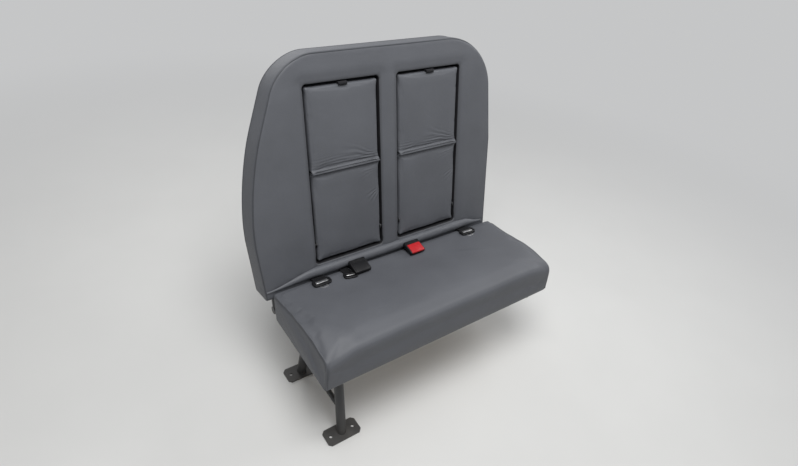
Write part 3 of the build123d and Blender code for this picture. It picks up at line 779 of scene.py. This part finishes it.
def paint_edge_shade(shape, low, high, width=0.006, amount=0.2):
    """Paints shade on a pad towards the edge of its front, where the gap round it is in shade."""
    layer = shape.verts.layers.float.new("painted_shade")
    for vert in shape.verts:
        vert[layer] = amount * fall(inside_by(vert.co, low, high), 0.0, width)


print("edge tools ready")

# %% [markdown]
# Each child seat has four pads. The upper and lower front pads show when it is stowed. The
# booster pad, behind the lower one, is what a child sits on, and the padded rest stays in
# the pocket. The front pads have a fuller crown than the two thin ones.

# %% Front pads
def place_pad(seat, kind, pad, body, finish, node):
    """Stands a pad on the back, in the place of one of its child seat's solids."""
    return place_piece(
        f"{seat}_{kind}_cover", pad, body, finish, on_back, (f"{seat}_{node}",), 180
    )


def stuff_front_pad(low, high, cap, board_z, crown):
    """A front pad. Its rear, behind board_z, is held by the board that it is tacked to."""
    block = soft_block(low, high, 0.0045)
    pad = stuffed(block, 0.0047, cap, held=lambda point: point[2] < board_z)
    calm(pad, low, high, crown)
    return pad


pad_front, side_gap, upper_foot, lower_top = -0.0022, 0.0004, 0.3700, 0.3640
for seat, left in pad_left.items():
    right = left + pad_width
    low, high = (left + side_gap, upper_foot, -0.0372), (right - side_gap, 0.6343, pad_front)
    upper = stuff_front_pad(low, high, 0.0038, -0.033, 0.0032)
    meet_welt(upper, upper_foot, 1, 0.0042, 0.0095)
    press_ripples(upper, 0.374, 0.424, 0.0095, 0.0013)
    press_fan(upper, (right + 0.02, 0.380), math.pi - 0.14, 0.42, 44, 0.21, 0.0010)
    press_fan(upper, (left - 0.02, 0.374), 0.16, 0.3, 40, 0.12, 0.0008)
    paint_edge_shade(upper, low, high)
    place_pad(seat, "upper", upper, f"{seat}_upper_fold", grey_vinyl, "upper_pad")
    low, high = (left + side_gap, 0.0562, -0.0205), (right - side_gap, lower_top, pad_front)
    lower = stuff_front_pad(low, high, 0.0036, -0.017, 0.0030)
    meet_welt(lower, lower_top, -1, 0.0018, 0.010)
    press_fan(lower, (right + 0.012, 0.275), math.pi + 0.62, 0.6, 26, 0.090, 0.0016)
    press_fan(lower, (right + 0.01, 0.345), math.pi + 0.2, 0.35, 36, 0.11, 0.0007)
    paint_edge_shade(lower, low, high)
    cover = place_pad(seat, "lower", lower, f"{seat}_lower_fold", grey_vinyl, "lower_pad")
    print(seat, "lower front pad", len(cover.data.polygons), "faces")

# %% [markdown]
# The booster pad and the padded rest are sewn through: two channels run up the rest and
# one across the booster, where the stitching pulls the foam down. The channels are pressed
# in after the stuffing, because the remesh would smooth them away.

# %% Pads a child touches
def press_channel(shape, axis, at, depth, outer, width=0.009):
    """Presses a sewn channel into the side of a pad that faces outer, +1 or -1 along z."""
    layers = shape.verts.layers.float
    layer = layers.get("painted_shade") or layers.new("painted_shade")
    shape.normal_update()
    for vert in shape.verts:
        if vert.normal.z * outer < 0.3:
            continue
        away = abs(vert.co[axis] - at)
        vert.co.z -= outer * depth * fall(away, 0, width)
        # Painted shade in the bottom of the sewn channel's groove.
        vert[layer] = max(vert[layer], 0.5 * fall(away, 0, width * 0.4))


channel_aside = 0.028
for seat, left in pad_left.items():
    right, middle = left + pad_width, left + pad_width / 2
    block = soft_block((left + 0.004, 0.062, -0.0385), (right - 0.004, 0.3605, -0.0265), 0.005)
    booster = stuffed(block, 0.0045, 0.0022)
    press_channel(booster, 1, 0.265, 0.0022, -1)
    place_pad(seat, "booster", booster, f"{seat}_lower_fold", dark_vinyl, "booster_pad")
    block = soft_block((left - 0.001, 0.167, -0.0788), (right + 0.001, 0.630, -0.0682), 0.0045)
    rest = stuffed(block, 0.0055, 0.0022, finer=False)
    for at in (middle - channel_aside, middle + channel_aside):
        press_channel(rest, 0, at, 0.0024, 1)
    cover = place_pad(seat, "rest", rest, "bench", dark_vinyl, "child_backrest")
    print(seat, "rest", len(cover.data.polygons), "faces")

# %% [markdown]
# ## The bench cushion
# The long cushion starts as its side view: five corners, rounded in the flat and
# extruded across the seat. It is stuffed like the pads, with its underside held because the
# cover wraps round the edge of a board and is tacked under it. The photograph shows the
# front corner at the aisle pulled down and a few long creases on the top, so these are
# shaped after the stuffing, with a sewn seam down each front corner.

# %% Bench cushion
cushion_low, cushion_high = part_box("bench_cushion")
inset, hem_y, hem_z = 0.004, 0.154, 0.3100
side_view = ((0.172, 0.4165), (-0.060, 0.4495), (-0.194, 0.4550), (-0.187, hem_z), (hem_y, hem_z))
side_roundings = ((1, 0.03, 4), (2, 0.030, 6), (3, 0.007, 3), (0, 0.008, 3))
bench = rounded_sheet([(cushion_low.x + inset, y, z) for y, z in side_view], side_roundings)
grown = points_in(bmesh.ops.extrude_face_region(bench, geom=bench.faces[:])["geom"])
across = cushion_high.x - cushion_low.x - 2 * inset
bmesh.ops.translate(bench, vec=(across, 0, 0), verts=grown)
end_edges = [
    e for e in bench.edges
    if abs(e.verts[0].co.x - e.verts[1].co.x) < 1e-5 and min(v.co.z for v in e.verts) > 0.318
]
round_off(bench, end_edges, 0.006, 3)
bench = stuffed(bench, 0.0075, 0.007, held=lambda p: p[2] < 0.322 or p[1] > 0.150, pull_in=0.5)
print("bench stuffed", len(bench.faces), "faces")

# %% Shape the bench cushion
board_z, crease_width, bench_crown, belt_level = 0.3235, 0.014, 0.003, 0.4204
seam_reach, seam_depth, seam_half = 0.034, 0.0036, 0.0045
creases = (
    ((0.26, 0.125), (0.52, 0.030), 0.0016), ((0.50, 0.085), (0.74, -0.035), 0.0020),
    ((0.62, 0.110), (0.80, 0.040), 0.0015), ((-0.02, 0.100), (0.16, 0.010), 0.0012),
)
pulled_corners = ((cushion_low.x, 0.030, 0.13), (cushion_high.x, 0.022, 0.12))


def crease_lift(x, y):
    """Long soft creases of the cushion's top, each a ridge beside a groove."""
    lift = 0.0
    for start, end, depth in creases:
        run, spot = Vector(end) - Vector(start), Vector((x, y)) - Vector(start)
        share = spot.dot(run) / run.length_squared
        aside = (spot.x * run.y - spot.y * run.x) / run.length / crease_width
        fade = rise(share, 0.0, 0.35) * fall(share, 0.6, 1.0)
        lift += depth * fade * math.exp(-(aside ** 2)) * (0.4 + aside)
    return lift


def sew_corner(vert, x, y, z, lift):
    """Presses the seam down a front corner of the cushion and paints shade into it."""
    for end in (cushion_low.x, cushion_high.x):
        from_edge = math.hypot(x - end, y - cushion_low.y)
        if from_edge < seam_reach and z > 0.326:
            mid = abs(abs(x - end) - abs(y - cushion_low.y)) * 0.7
            inward = Vector(((0.4 if end < 0 else -0.4), 0.4, 0))
            pull = inward * seam_depth * fall(mid, 0, seam_half)
            vert.co += pull * fall(from_edge, 0.022, seam_reach)
            vert[bench_shade] = 0.75 * fall(mid, 0, 0.003) * (1 - lift * 0.7)


bench_shade = bench.verts.layers.float.new("painted_shade")
for vert in bench.verts:
    x, y, z = vert.co
    inside = min(x - cushion_low.x, cushion_high.x - x, y - cushion_low.y, hem_y - y)
    if z < 0.320 and inside > 0.024:
        vert.co.z = board_z
        continue
    lift = rise(z, 0.36, 0.43)
    for end, sag, reach in pulled_corners:
        from_corner = math.hypot(x - end, (y - cushion_low.y) * 0.8)
        vert.co.z -= sag * lift * fall(from_corner, 0.0, reach)
    crown = rise(x - cushion_low.x, 0, 0.20) * rise(cushion_high.x - x, 0, 0.20)
    lumpy = 1 + noise.noise(Vector((x * 6, y * 6, 7.0)))
    vert.co.z += bench_crown * lift * crown * lumpy
    vert.co.z += crease_lift(x, y) * lift
    under_belts = belt_level + (0.176 - y) * math.tan(cushion_slope)
    if vert.co.z > under_belts:
        vert.co.z += (under_belts - vert.co.z) * rise(y, -0.020, 0.110)
    sew_corner(vert, x, y, z, lift)
bench_cover = place_piece(
    "bench_cover", bench, "bench", grey_vinyl, None, ("bench_cushion",), 180
)
print("bench cover", len(bench_cover.data.polygons), "faces")

# %% [markdown]
# A thin sewn ridge runs along the top edge of each end and down the front corner. It
# follows the finished cover: at each step the ridge takes the point that lies furthest out.
# The cover is painted darker just below it, as the seam's painted shadow.

# %% Ridges at the bench's ends
def cord_along(name, path, radius, finish, stand=None, closed=False):
    """A round cord along a line of points, as one mesh that rides on the bench."""
    line = bpy.data.curves.new(name, "CURVE")
    line.dimensions, line.bevel_depth, line.bevel_resolution = "3D", radius, 2
    line.use_fill_caps = not closed
    spline = line.splines.new("POLY")
    spline.points.add(len(path) - 1)
    for point, co in zip(spline.points, path):
        point.co = (*co, 1)
    spline.use_cyclic_u = closed
    holder = bpy.data.objects.new(name + "_line", line)
    scene.collection.objects.link(holder)
    bpy.context.view_layer.update()
    graph = bpy.context.evaluated_depsgraph_get()
    mesh = bpy.data.meshes.new_from_object(holder.evaluated_get(graph))
    bpy.data.objects.remove(holder)
    cord = bmesh.new()
    cord.from_mesh(mesh)
    bmesh.ops.remove_doubles(cord, verts=cord.verts, dist=1e-5)
    return place_piece(name, cord, "bench", finish, stand, (), 60)


def furthest(points, way):
    """The point that lies furthest along a direction."""
    return points[np.argmax(points @ np.array(way))]


cover_points = points_of(bench_cover.data)
ridge_step, slice_half = 0.008, 0.005
for end_name, outward_x in (("aisle", -1), ("window", 1)):
    end_x = cushion_high.x if outward_x > 0 else -cushion_low.x
    at_end = cover_points[:, 0] * outward_x > end_x - 0.03
    near_end = cover_points[at_end]
    front = near_end[near_end[:, 1] < -0.1]
    ridge = []
    for y in np.arange(0.150, -0.178, -ridge_step):
        level_points = near_end[abs(near_end[:, 1] - y) < slice_half]
        ridge.append(furthest(level_points, (outward_x, 0, 1)))
    for z in np.arange(0.430, 0.318, -ridge_step):
        level_points = front[abs(front[:, 2] - z) < slice_half]
        ridge.append(furthest(level_points, (outward_x, -1, 0)))
    ridge = np.array(ridge)
    for _ in range(4):
        ridge[1:-1] = (ridge[:-2] + ridge[1:-1] * 2 + ridge[2:]) / 4
    cord_along(f"bench_{end_name}_ridge", ridge, 0.0021, grey_vinyl)
    # Painted shadow of the ridge on the cover just below it.
    below = ridge + np.array((outward_x * 0.001, 0, -0.0050))
    painted = bench_cover.data.attributes["painted_shade"].data
    for index in np.nonzero(at_end)[0]:
        away = np.linalg.norm(below - cover_points[index], axis=1).min()
        painted[index].value = max(painted[index].value, 0.6 * fall(away, 0.002, 0.0075))
print("bench ridges", 2, "points each", len(ridge))

# %% [markdown]
# ## Roll, piping and fold welts
# Across the foot of the back lies a soft roll that closes the gap to the cushion. At the
# aisle it thins out and tucks down to the corner, and a little at the window. It is a
# cylinder, ringed by subdivision so that it can taper and pucker.

# %% Roll at the foot of the back
def ringed_rod(segments, cuts):
    """A rod along x, of length 1 and radius 1, with rings of points to shape it by."""
    rod = bmesh.new()
    bmesh.ops.create_cone(rod, cap_ends=True, segments=segments, radius1=1, radius2=1, depth=1)
    bmesh.ops.rotate(rod, matrix=Matrix.Rotation(math.pi / 2, 3, "Y"), verts=rod.verts)
    long_edges = [e for e in rod.edges if abs(e.verts[0].co.x - e.verts[1].co.x) > 0.5]
    bmesh.ops.subdivide_edges(rod, edges=long_edges, cuts=cuts)
    return rod


roll = ringed_rod(28, 150)
for vert in roll.verts:
    x = roll_start + (roll_end - roll_start) * (vert.co.x + 0.5)
    height, full = roll_at(x)
    full *= 1 + 0.06 * noise.noise(Vector((x * 30, vert.co.y * 2, 1.0)))
    up, out = vert.co.y * roll_half_height * full, vert.co.z * roll_half_depth * full
    vert.co = Vector((x, height + up, out))
foot_roll = place_piece("foot_roll", roll, "bench", grey_vinyl, on_back, (), 60)
print("foot roll", len(foot_roll.data.polygons), "faces")

# %% [markdown]
# Piping runs round the front and the rear rim of the back, in a darker vinyl that paints the
# shade of its seam line. Both follow the outline, so the seven corners are used again, moved
# in a little and rounded in the same way. The loop of edges becomes a round cord by giving a
# curve some thickness.

# %% Piping
def inset_middle(sheet, width):
    """Insets a flat sheet from its rim, and returns the faces left in its middle."""
    rim = bmesh.ops.inset_region(
        sheet, faces=sheet.faces[:], thickness=width, use_even_offset=True, use_boundary=True
    )["faces"]
    return [f for f in sheet.faces if f not in rim]


def piping(name, inset_by, depth_low, depth_high):
    """A cord round the back's outline, so far in from the edge and so deep."""
    loop = rounded_sheet([(x, y, 0) for x, y in outline], rounded_corners, 2)
    path = [vert.co.copy() for vert in inset_middle(loop, inset_by)[0].verts]
    loop.free()
    path = [(co.x, co.y, -(depth_low + (depth_high - depth_low) * up_share(co.y))) for co in path]
    return cord_along(name, path, 0.0022, shaded_piping_vinyl, on_back, closed=True)


front_piping = piping("front_piping", 0.0032, 0.0028, 0.0028)
rear_piping = piping("rear_piping", 0.0012, 0.0890, 0.0730)
print("piping", len(front_piping.data.polygons), len(rear_piping.data.polygons))

# %% [markdown]
# The two front pads of a child seat fold about a welt, a thin cord sewn into the seam with
# a flange behind it. The upper pad's cover wraps over it as a narrow leaf, which is an edge
# spun about the welt.

# %% Fold welts and their leaves
def join(shape, *others):
    """Adds other shapes to a shape, as parts of one piece."""
    for other in others:
        spare = bpy.data.meshes.new("spare")
        other.to_mesh(spare)
        other.free()
        shape.from_mesh(spare)
    return shape


def thicken(piece, thickness):
    """Gives a sheet its thickness, half to each side."""
    wall = piece.modifiers.new("thick", "SOLIDIFY")
    wall.thickness, wall.offset = thickness, 0


welt_y, welt_z, welt_radius, leaf_radius, leaf_start = 0.367, 0.004, 0.0025, 0.0028, -math.pi / 4
for seat, left in pad_left.items():
    start, end = left + 0.0025, left + pad_width - 0.0025
    welt = ringed_rod(16, 70)
    for vert in welt.verts:
        x = start + (end - start) * (vert.co.x + 0.5)
        taper = 0.72 + 0.28 * rise(min(x - start, end - x), 0, 0.004)
        thick = welt_radius * taper * (1 + 0.07 * noise.noise(Vector((x * 90, vert.co.y, 3.0))))
        vert.co = Vector((x, welt_y + vert.co.y * thick, welt_z + vert.co.z * thick))
    join(welt, soft_block((start, 0.3653, -0.018), (end, 0.3668, 0.003), 0.0005, 1))
    place_piece(
        f"{seat}_welt_cord", welt, f"{seat}_lower_fold", grey_vinyl, on_back,
        (f"{seat}_fold_welt",), 60,
    )
    leaf = bmesh.new()
    at = Vector((0, math.cos(leaf_start), math.sin(leaf_start))) * leaf_radius
    ends = [leaf.verts.new(Vector((x, welt_y, welt_z)) + at) for x in (start, end)]
    edge = leaf.edges.new(ends)
    bmesh.ops.spin(
        leaf, geom=ends + [edge], cent=(0, welt_y, welt_z), axis=(1, 0, 0),
        angle=math.radians(96), steps=9, use_merge=False,
    )
    tab = points_in(bmesh.ops.extrude_edge_only(leaf, edges=[edge])["geom"])
    bmesh.ops.translate(leaf, vec=(0, 0.006, -0.0016), verts=tab)
    fold_leaf = place_piece(f"{seat}_fold_leaf", leaf, f"{seat}_upper_fold", grey_vinyl, on_back)
    thicken(fold_leaf, 0.0006)
print("fold welts", 2)

# %% [markdown]
# ## Straps
# A strap is a grid as wide as the webbing whose rows are laid along a bent line. Its UV map
# keeps the flat distances, so the weave follows every bend, and a Solidify modifier gives
# it its thickness.

# %% Lay a strap
def lay_strap(name, width, line, body, finish, stand, replaces=(), thickness=0.0016):
    """A flat strap along a line of (y, z) points. Its middle is at x = 0 before it stands."""
    knots = [Vector((0, y, z)) for y, z in line]
    lengths = [0.0]
    for one, two in zip(knots, knots[1:]):
        lengths.append(lengths[-1] + (two - one).length)
    rows = max(12, int(lengths[-1] / 0.006))
    grid = bmesh.new()
    bmesh.ops.create_grid(grid, x_segments=6, y_segments=rows, size=0.5)
    flat = grid.loops.layers.uv.new("flat")
    for vert in grid.verts:
        vert.co = Vector((vert.co.x * width, (vert.co.y + 0.5) * lengths[-1], 0))
    for face in grid.faces:
        for loop in face.loops:
            loop[flat].uv = loop.vert.co.xy
    for vert in grid.verts:
        run = vert.co.y
        reached = (i for i in range(1, len(lengths)) if run <= lengths[i] + 1e-9)
        index = next(reached, len(lengths) - 1)
        share = (run - lengths[index - 1]) / (lengths[index] - lengths[index - 1])
        spot = knots[index - 1].lerp(knots[index], share)
        edge_curl = 0.0005 * (2 * vert.co.x / width) ** 2
        vert.co = Vector((vert.co.x, spot.y, spot.z - edge_curl))
    thicken(place_piece(name, grid, body, finish, stand, replaces, 60), thickness)


def bow(start, end, steps, height, base):
    """Points of a strap that bows away from what it lies on, from start to end along y."""
    shares = [step / steps for step in range(steps + 1)]
    return [(start + (end - start) * s, base + height * math.sin(math.pi * s)) for s in shares]


harness_width, narrow_width, belt_width = 0.038, 0.030, 0.047
harness_aside, harness_thickness, pull_thickness = 0.062, 0.0018, 0.0015
for seat, left in pad_left.items():
    middle = left + pad_width / 2
    for side_name, side in (("left", -1), ("right", 1)):
        lay_strap(
            f"{seat}_harness_{side_name}", harness_width, bow(0.196, 0.560, 28, 0.0022, -0.0648),
            "bench", harness_webbing, at_x(middle + side * harness_aside),
            (f"{seat}_harness_strap_{side_name}",), harness_thickness,
        )
    lay_strap(
        f"{seat}_crotch_web", narrow_width, bow(0.205, 0.300, 14, -0.0012, -0.0412),
        f"{seat}_lower_fold", harness_webbing, at_x(middle), (f"{seat}_crotch_strap",),
        harness_thickness,
    )
print("harness straps laid")

# %% [markdown]
# The pull strap at the top of each pad is a short loop of thin black webbing. In the
# photograph it fills the gap above the pad, over a few centimetres.

# %% Pull straps
pull_line = (
    (0.6272, 0.0004), (0.6286, 0.0024), (0.6308, 0.0034), (0.6336, 0.0036), (0.6364, 0.0026),
    (0.6382, 0.0004), (0.6384, -0.0026), (0.6368, -0.0054), (0.6340, -0.0072), (0.6310, -0.0078),
)
for seat, left in pad_left.items():
    lay_strap(
        f"{seat}_pull_loop", narrow_width, pull_line, f"{seat}_upper_fold", harness_webbing,
        at_x(left + pad_width / 2), (f"{seat}_pull_strap",), pull_thickness,
    )
print("pull loops", 2)

# %% [markdown]
# ## Lap belts
# Four belt ends come up out of the bite: two with steel tongues and two with buckles. Each
# tongue is a steel blade with a latch hole in a black moulded frame, whose steel bar glints
# in its window, and its webbing loops round that bar. Each buckle is a rounded case with a
# slot and a push button. Beside the aisle buckle lies a small slider.

# %% Lap belt webbing
web_lines = {
    "tongue": (
        (0.004, -0.0010), (-0.006, 0.0022), (-0.016, 0.0050), (-0.026, 0.0070), (-0.0325, 0.0078),
        (-0.0368, 0.0066), (-0.0378, 0.0040), (-0.0350, 0.0016), (-0.026, 0.0006), (-0.014, 0.0004),
    ),
    "buckle": ((0.003, -0.0008), (-0.010, 0.0012), (-0.040, 0.0011), (-0.068, 0.0011)),
}
slider_line = ((0.003, -0.0008), (-0.014, 0.0030), (-0.034, 0.0034), (-0.062, 0.0022))
slider_x, slider_turn, buckle_tilt = 0.166, -0.22, math.radians(20)
belt_x = {}
for kind, line in web_lines.items():
    for side in ("aisle", "window"):
        low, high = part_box(f"{side}_belt_{kind}")
        middle = belt_x[f"{side}_{kind}"] = (low.x + high.x) / 2
        lay_strap(
            f"{side}_{kind}_web", belt_width, line, "bench", belt_webbing, on_cushion(middle),
            (f"{side}_{kind}_webbing",),
        )
lay_strap(
    "aisle_slider_web", narrow_width, slider_line, "bench", belt_webbing, on_cushion(slider_x)
)
print("belts at", {name: round(x, 3) for name, x in belt_x.items()})

# %% Tongues and slider
def sharp_edges(shape):
    """Edges where a flat side meets a wall."""
    return [e for e in shape.edges if len(e.link_faces) == 2 and e.calc_face_angle() > 1]


def moulded_ring(width, length, wall, thick):
    """A rounded plastic frame lying flat, with a window in its middle."""
    ring = bmesh.new()
    bmesh.ops.create_grid(ring, x_segments=1, y_segments=1, size=0.5)
    bmesh.ops.scale(ring, vec=(width, length, 1), verts=ring.verts)
    round_off(ring, ring.verts[:], 0.012, 5, "VERTICES")
    bmesh.ops.delete(ring, geom=inset_middle(ring, wall), context="FACES")
    bmesh.ops.solidify(ring, geom=ring.faces[:], thickness=thick)
    round_off(ring, sharp_edges(ring), 0.0022, 3)
    lowest = min(v.co.z for v in ring.verts)
    bmesh.ops.translate(ring, vec=(0, 0, -lowest), verts=ring.verts)
    return ring


half = ((0.010, 0.0), (0.0145, 0.0045), (0.0145, 0.020), (0.024, 0.025), (0.024, 0.036))
rim = [(x, y, 0) for x, y in half] + [(-x, y, 0) for x, y in reversed(half)]
latch_half, latch_low, latch_high, blade_thickness = 0.0065, 0.0045, 0.0105, 0.0026
for side in ("aisle", "window"):
    stand = on_cushion(belt_x[f"{side}_tongue"]) @ Matrix.Translation((0, -0.072, 0.0012))
    blade = rounded_sheet(rim)
    for axis, at in ((0, -latch_half), (0, latch_half), (1, latch_low), (1, latch_high)):
        cut(blade, axis, at)
    centres = {f: f.calc_center_median() for f in blade.faces}
    hole = [f for f, c in centres.items() if abs(c.x) < 0.006 and latch_low < c.y < latch_high]
    bmesh.ops.delete(blade, geom=hole, context="FACES")
    bmesh.ops.solidify(blade, geom=blade.faces[:], thickness=blade_thickness)
    round_off(blade, sharp_edges(blade), 0.0005, 2)
    join(blade, soft_block((-0.0225, 0.0215, 0.0030), (0.0225, 0.0325, 0.0072), 0.0018))
    place_piece(
        f"{side}_tongue_blade", blade, "bench", plated_steel, stand, (f"{side}_belt_tongue",), 30
    )
    frame_stand = stand @ Matrix.Translation((0, 0.027, -0.0008)) @ Matrix.Rotation(0.06, 4, "X")
    ring = moulded_ring(0.067, 0.034, 0.0115, 0.0088)
    place_piece(f"{side}_tongue_ring", ring, "bench", black_plastic, frame_stand)
stand = on_cushion(slider_x) @ Matrix.Translation((0, -0.060, 0.0006))
stand = stand @ Matrix.Rotation(slider_turn, 4, "Z")
ring = moulded_ring(0.050, 0.034, 0.0105, 0.0068)
place_piece("aisle_belt_slider", ring, "bench", black_plastic, stand)
bar = soft_block((-0.0145, -0.0022, 0.0026), (0.0145, 0.0026, 0.0060), 0.0014)
place_piece("aisle_slider_bar", bar, "bench", plated_steel, stand)
print("tongues", 2, "slider", 1)

# %% Buckles
slot_rim, slot_depth = 0.0018, 0.008


def buckle_case(width, length, thick):
    """A rounded case with a slot in the end where the tongue goes in."""
    case = soft_block((-width / 2, 0, 0), (width / 2, length, thick), 0.0042, 4)
    end = max(case.faces, key=lambda f: -f.normal.y + f.calc_area() * 10)
    bmesh.ops.inset_region(case, faces=[end], thickness=slot_rim, use_even_offset=True)
    bmesh.ops.translate(case, vec=(0, slot_depth, 0), verts=end.verts)
    return case


grip_low, grip_high, grip_pitch = 0.0415, 0.0434, 0.0042
for side, button_finish in (("aisle", black_plastic), ("window", red_plastic)):
    stand = on_cushion(belt_x[f"{side}_buckle"]) @ Matrix.Translation((0, -0.070, 0.0021))
    stand = stand @ Matrix.Rotation(buckle_tilt, 4, "X")
    case, node = buckle_case(0.064, 0.0560, 0.0155), (f"{side}_belt_buckle",)
    place_piece(f"{side}_buckle_case", case, "bench", black_plastic, stand, node, 35)
    button = soft_block((-0.0275, -0.0012, 0.0085), (0.0275, 0.0390, 0.0175), 0.0028)
    place_piece(f"{side}_push_button", button, "bench", button_finish, stand, (), 35)
    for row in range(3):
        low = (-0.018, grip_low + row * grip_pitch, 0.0140)
        high = (0.018, grip_high + row * grip_pitch, 0.0162)
        grip = soft_block(low, high, 0.0006, 2)
        place_piece(f"{side}_buckle_grip_{row}", grip, "bench", black_plastic, stand, (), 35)
print("buckles", 2)

# %% [markdown]
# The harness in each pocket has a chest clip, whose two halves meet at a latch, and a small
# buckle with a red button on the strap between the legs.

# %% Chest clips and harness buckles
rib_half, clip_place, case_place = 0.0012, (0, 0.430, -0.0636), (0, 0.152, -0.040)
for seat, left in pad_left.items():
    middle, body = left + pad_width / 2, f"{seat}_lower_fold"
    stand = at_x(middle) @ Matrix.Translation(clip_place)
    clip = soft_block((-0.0745, -0.0165, 0), (0.0745, 0.0165, 0.0058), 0.0022)
    latch = soft_block((-0.026, -0.0145, 0.004), (0.026, 0.0145, 0.0076), 0.0018)
    ribs = [
        soft_block((x - rib_half, -0.012, 0.005), (x + rib_half, 0.012, 0.0072), 0.0005, 1)
        for x in (-0.058, -0.048, 0.048, 0.058)
    ]
    join(clip, latch, *ribs)
    place_piece(f"{seat}_clip", clip, "bench", black_plastic, stand, (f"{seat}_chest_clip",), 35)
    stand = at_x(middle) @ Matrix.Translation(case_place)
    stand = stand @ Matrix.Rotation(math.pi, 4, "Y")
    case, node = buckle_case(0.0435, 0.0615, 0.0122), (f"{seat}_crotch_buckle",)
    place_piece(f"{seat}_harness_case", case, body, black_plastic, stand, node, 35)
    button = soft_block((-0.0125, 0.0085, 0.0100), (0.0125, 0.0300, 0.0130), 0.0018)
    place_piece(f"{seat}_harness_button", button, body, red_plastic, stand, (), 35)
print("harness fittings", 4)

# %% [markdown]
# ## Floor and light
# The seat stands on a plain pale floor. A few metres out the floor's shader turns into an
# even glow of the colour that the world shows behind it, so no horizon crosses the picture
# from any side. One large soft lamp above does most of the lighting, weaker ones fill the
# window side and the rear, and the world adds an even level, so that colours render as they
# are written.

# %% Floor
backdrop = (0.56, 0.565, 0.57, 1)
fade_start, fade_rate = 0.9, 0.34
pale = Finish("pale_floor", (0.62, 0.62, 0.61), 0.85, Specular_IOR_Level=0.15)
pale.give("Base Color", pale.tint(pale.cloud(3.0), (0.60, 0.60, 0.59, 1), (0.64, 0.64, 0.63, 1)))
distance = pale.node("VectorMath", {"operation": "LENGTH"}, {0: pale.place()})[1]
glow = pale.node("Emission", {}, {"Color": backdrop, "Strength": 1.0})[0]
outside = ((distance - fade_start) * fade_rate).held()
fade = outside * outside * (3 - outside * 2)
both = pale.node("MixShader", {}, {0: fade, 1: pale.lit, 2: glow})[0]
pale.give("Surface", both, pale.tree.nodes["Material Output"])
disc = bmesh.new()
bmesh.ops.create_circle(disc, cap_ends=True, segments=96, radius=40)
floor_mesh = bpy.data.meshes.new("floor")
disc.to_mesh(floor_mesh)
disc.free()
floor_mesh.materials.append(pale.material)
floor = bpy.data.objects.new("floor", floor_mesh)
scene.collection.objects.link(floor)
floor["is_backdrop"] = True
print("floor laid")

# %% Lamps and world
def soft_lamp(name, place, size, power):
    """A square area lamp that faces the middle of the seat."""
    lamp = bpy.data.objects.new(name, bpy.data.lights.new(name, "AREA"))
    lamp.data.size, lamp.data.energy = size, power
    aim = (seat_middle - Vector(place)).to_track_quat("-Z", "Y").to_matrix().to_4x4()
    lamp.matrix_world = Matrix.Translation(Vector(place)) @ aim
    scene.collection.objects.link(lamp)


seat_middle = Vector((0.36, 0.05, 0.6))
soft_lamp("key", (-0.25, -0.8, 3.3), 1.7, 98)
soft_lamp("window_side", (2.9, -0.2, 2.4), 1.8, 34)
soft_lamp("rear_fill", (0.2, 2.8, 2.2), 2.0, 22)
world = bpy.data.worlds.new("studio")
sky = Nodes(world, "Background")
sky.give("Color", (0.86, 0.87, 0.88, 1))
sky.give("Strength", 0.27)
rays = {ray.socket.name: ray for ray in sky.node("LightPath", {}, {})}
seen = sky.node("Background", {}, {"Color": backdrop})[0]
directly = rays["Is Camera Ray"]
either = directly.maths("MAXIMUM", directly, rays["Is Glossy Ray"])
chosen = sky.node("MixShader", {}, {0: either, 1: sky.lit, 2: seen})[0]
sky.give("Surface", chosen, sky.tree.nodes["World Output"])
scene.world = world
scene.view_settings.view_transform = "Standard"
print("lamps", 3)

# %% [markdown]
# The last cell measures the finished seat next to the solids' box, writes both down and lets
# the frame check that every piece rides on a body.

# %% Measure and finish
low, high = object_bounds()
print("seat  ", [round(v, 4) for v in low], [round(v, 4) for v in high])
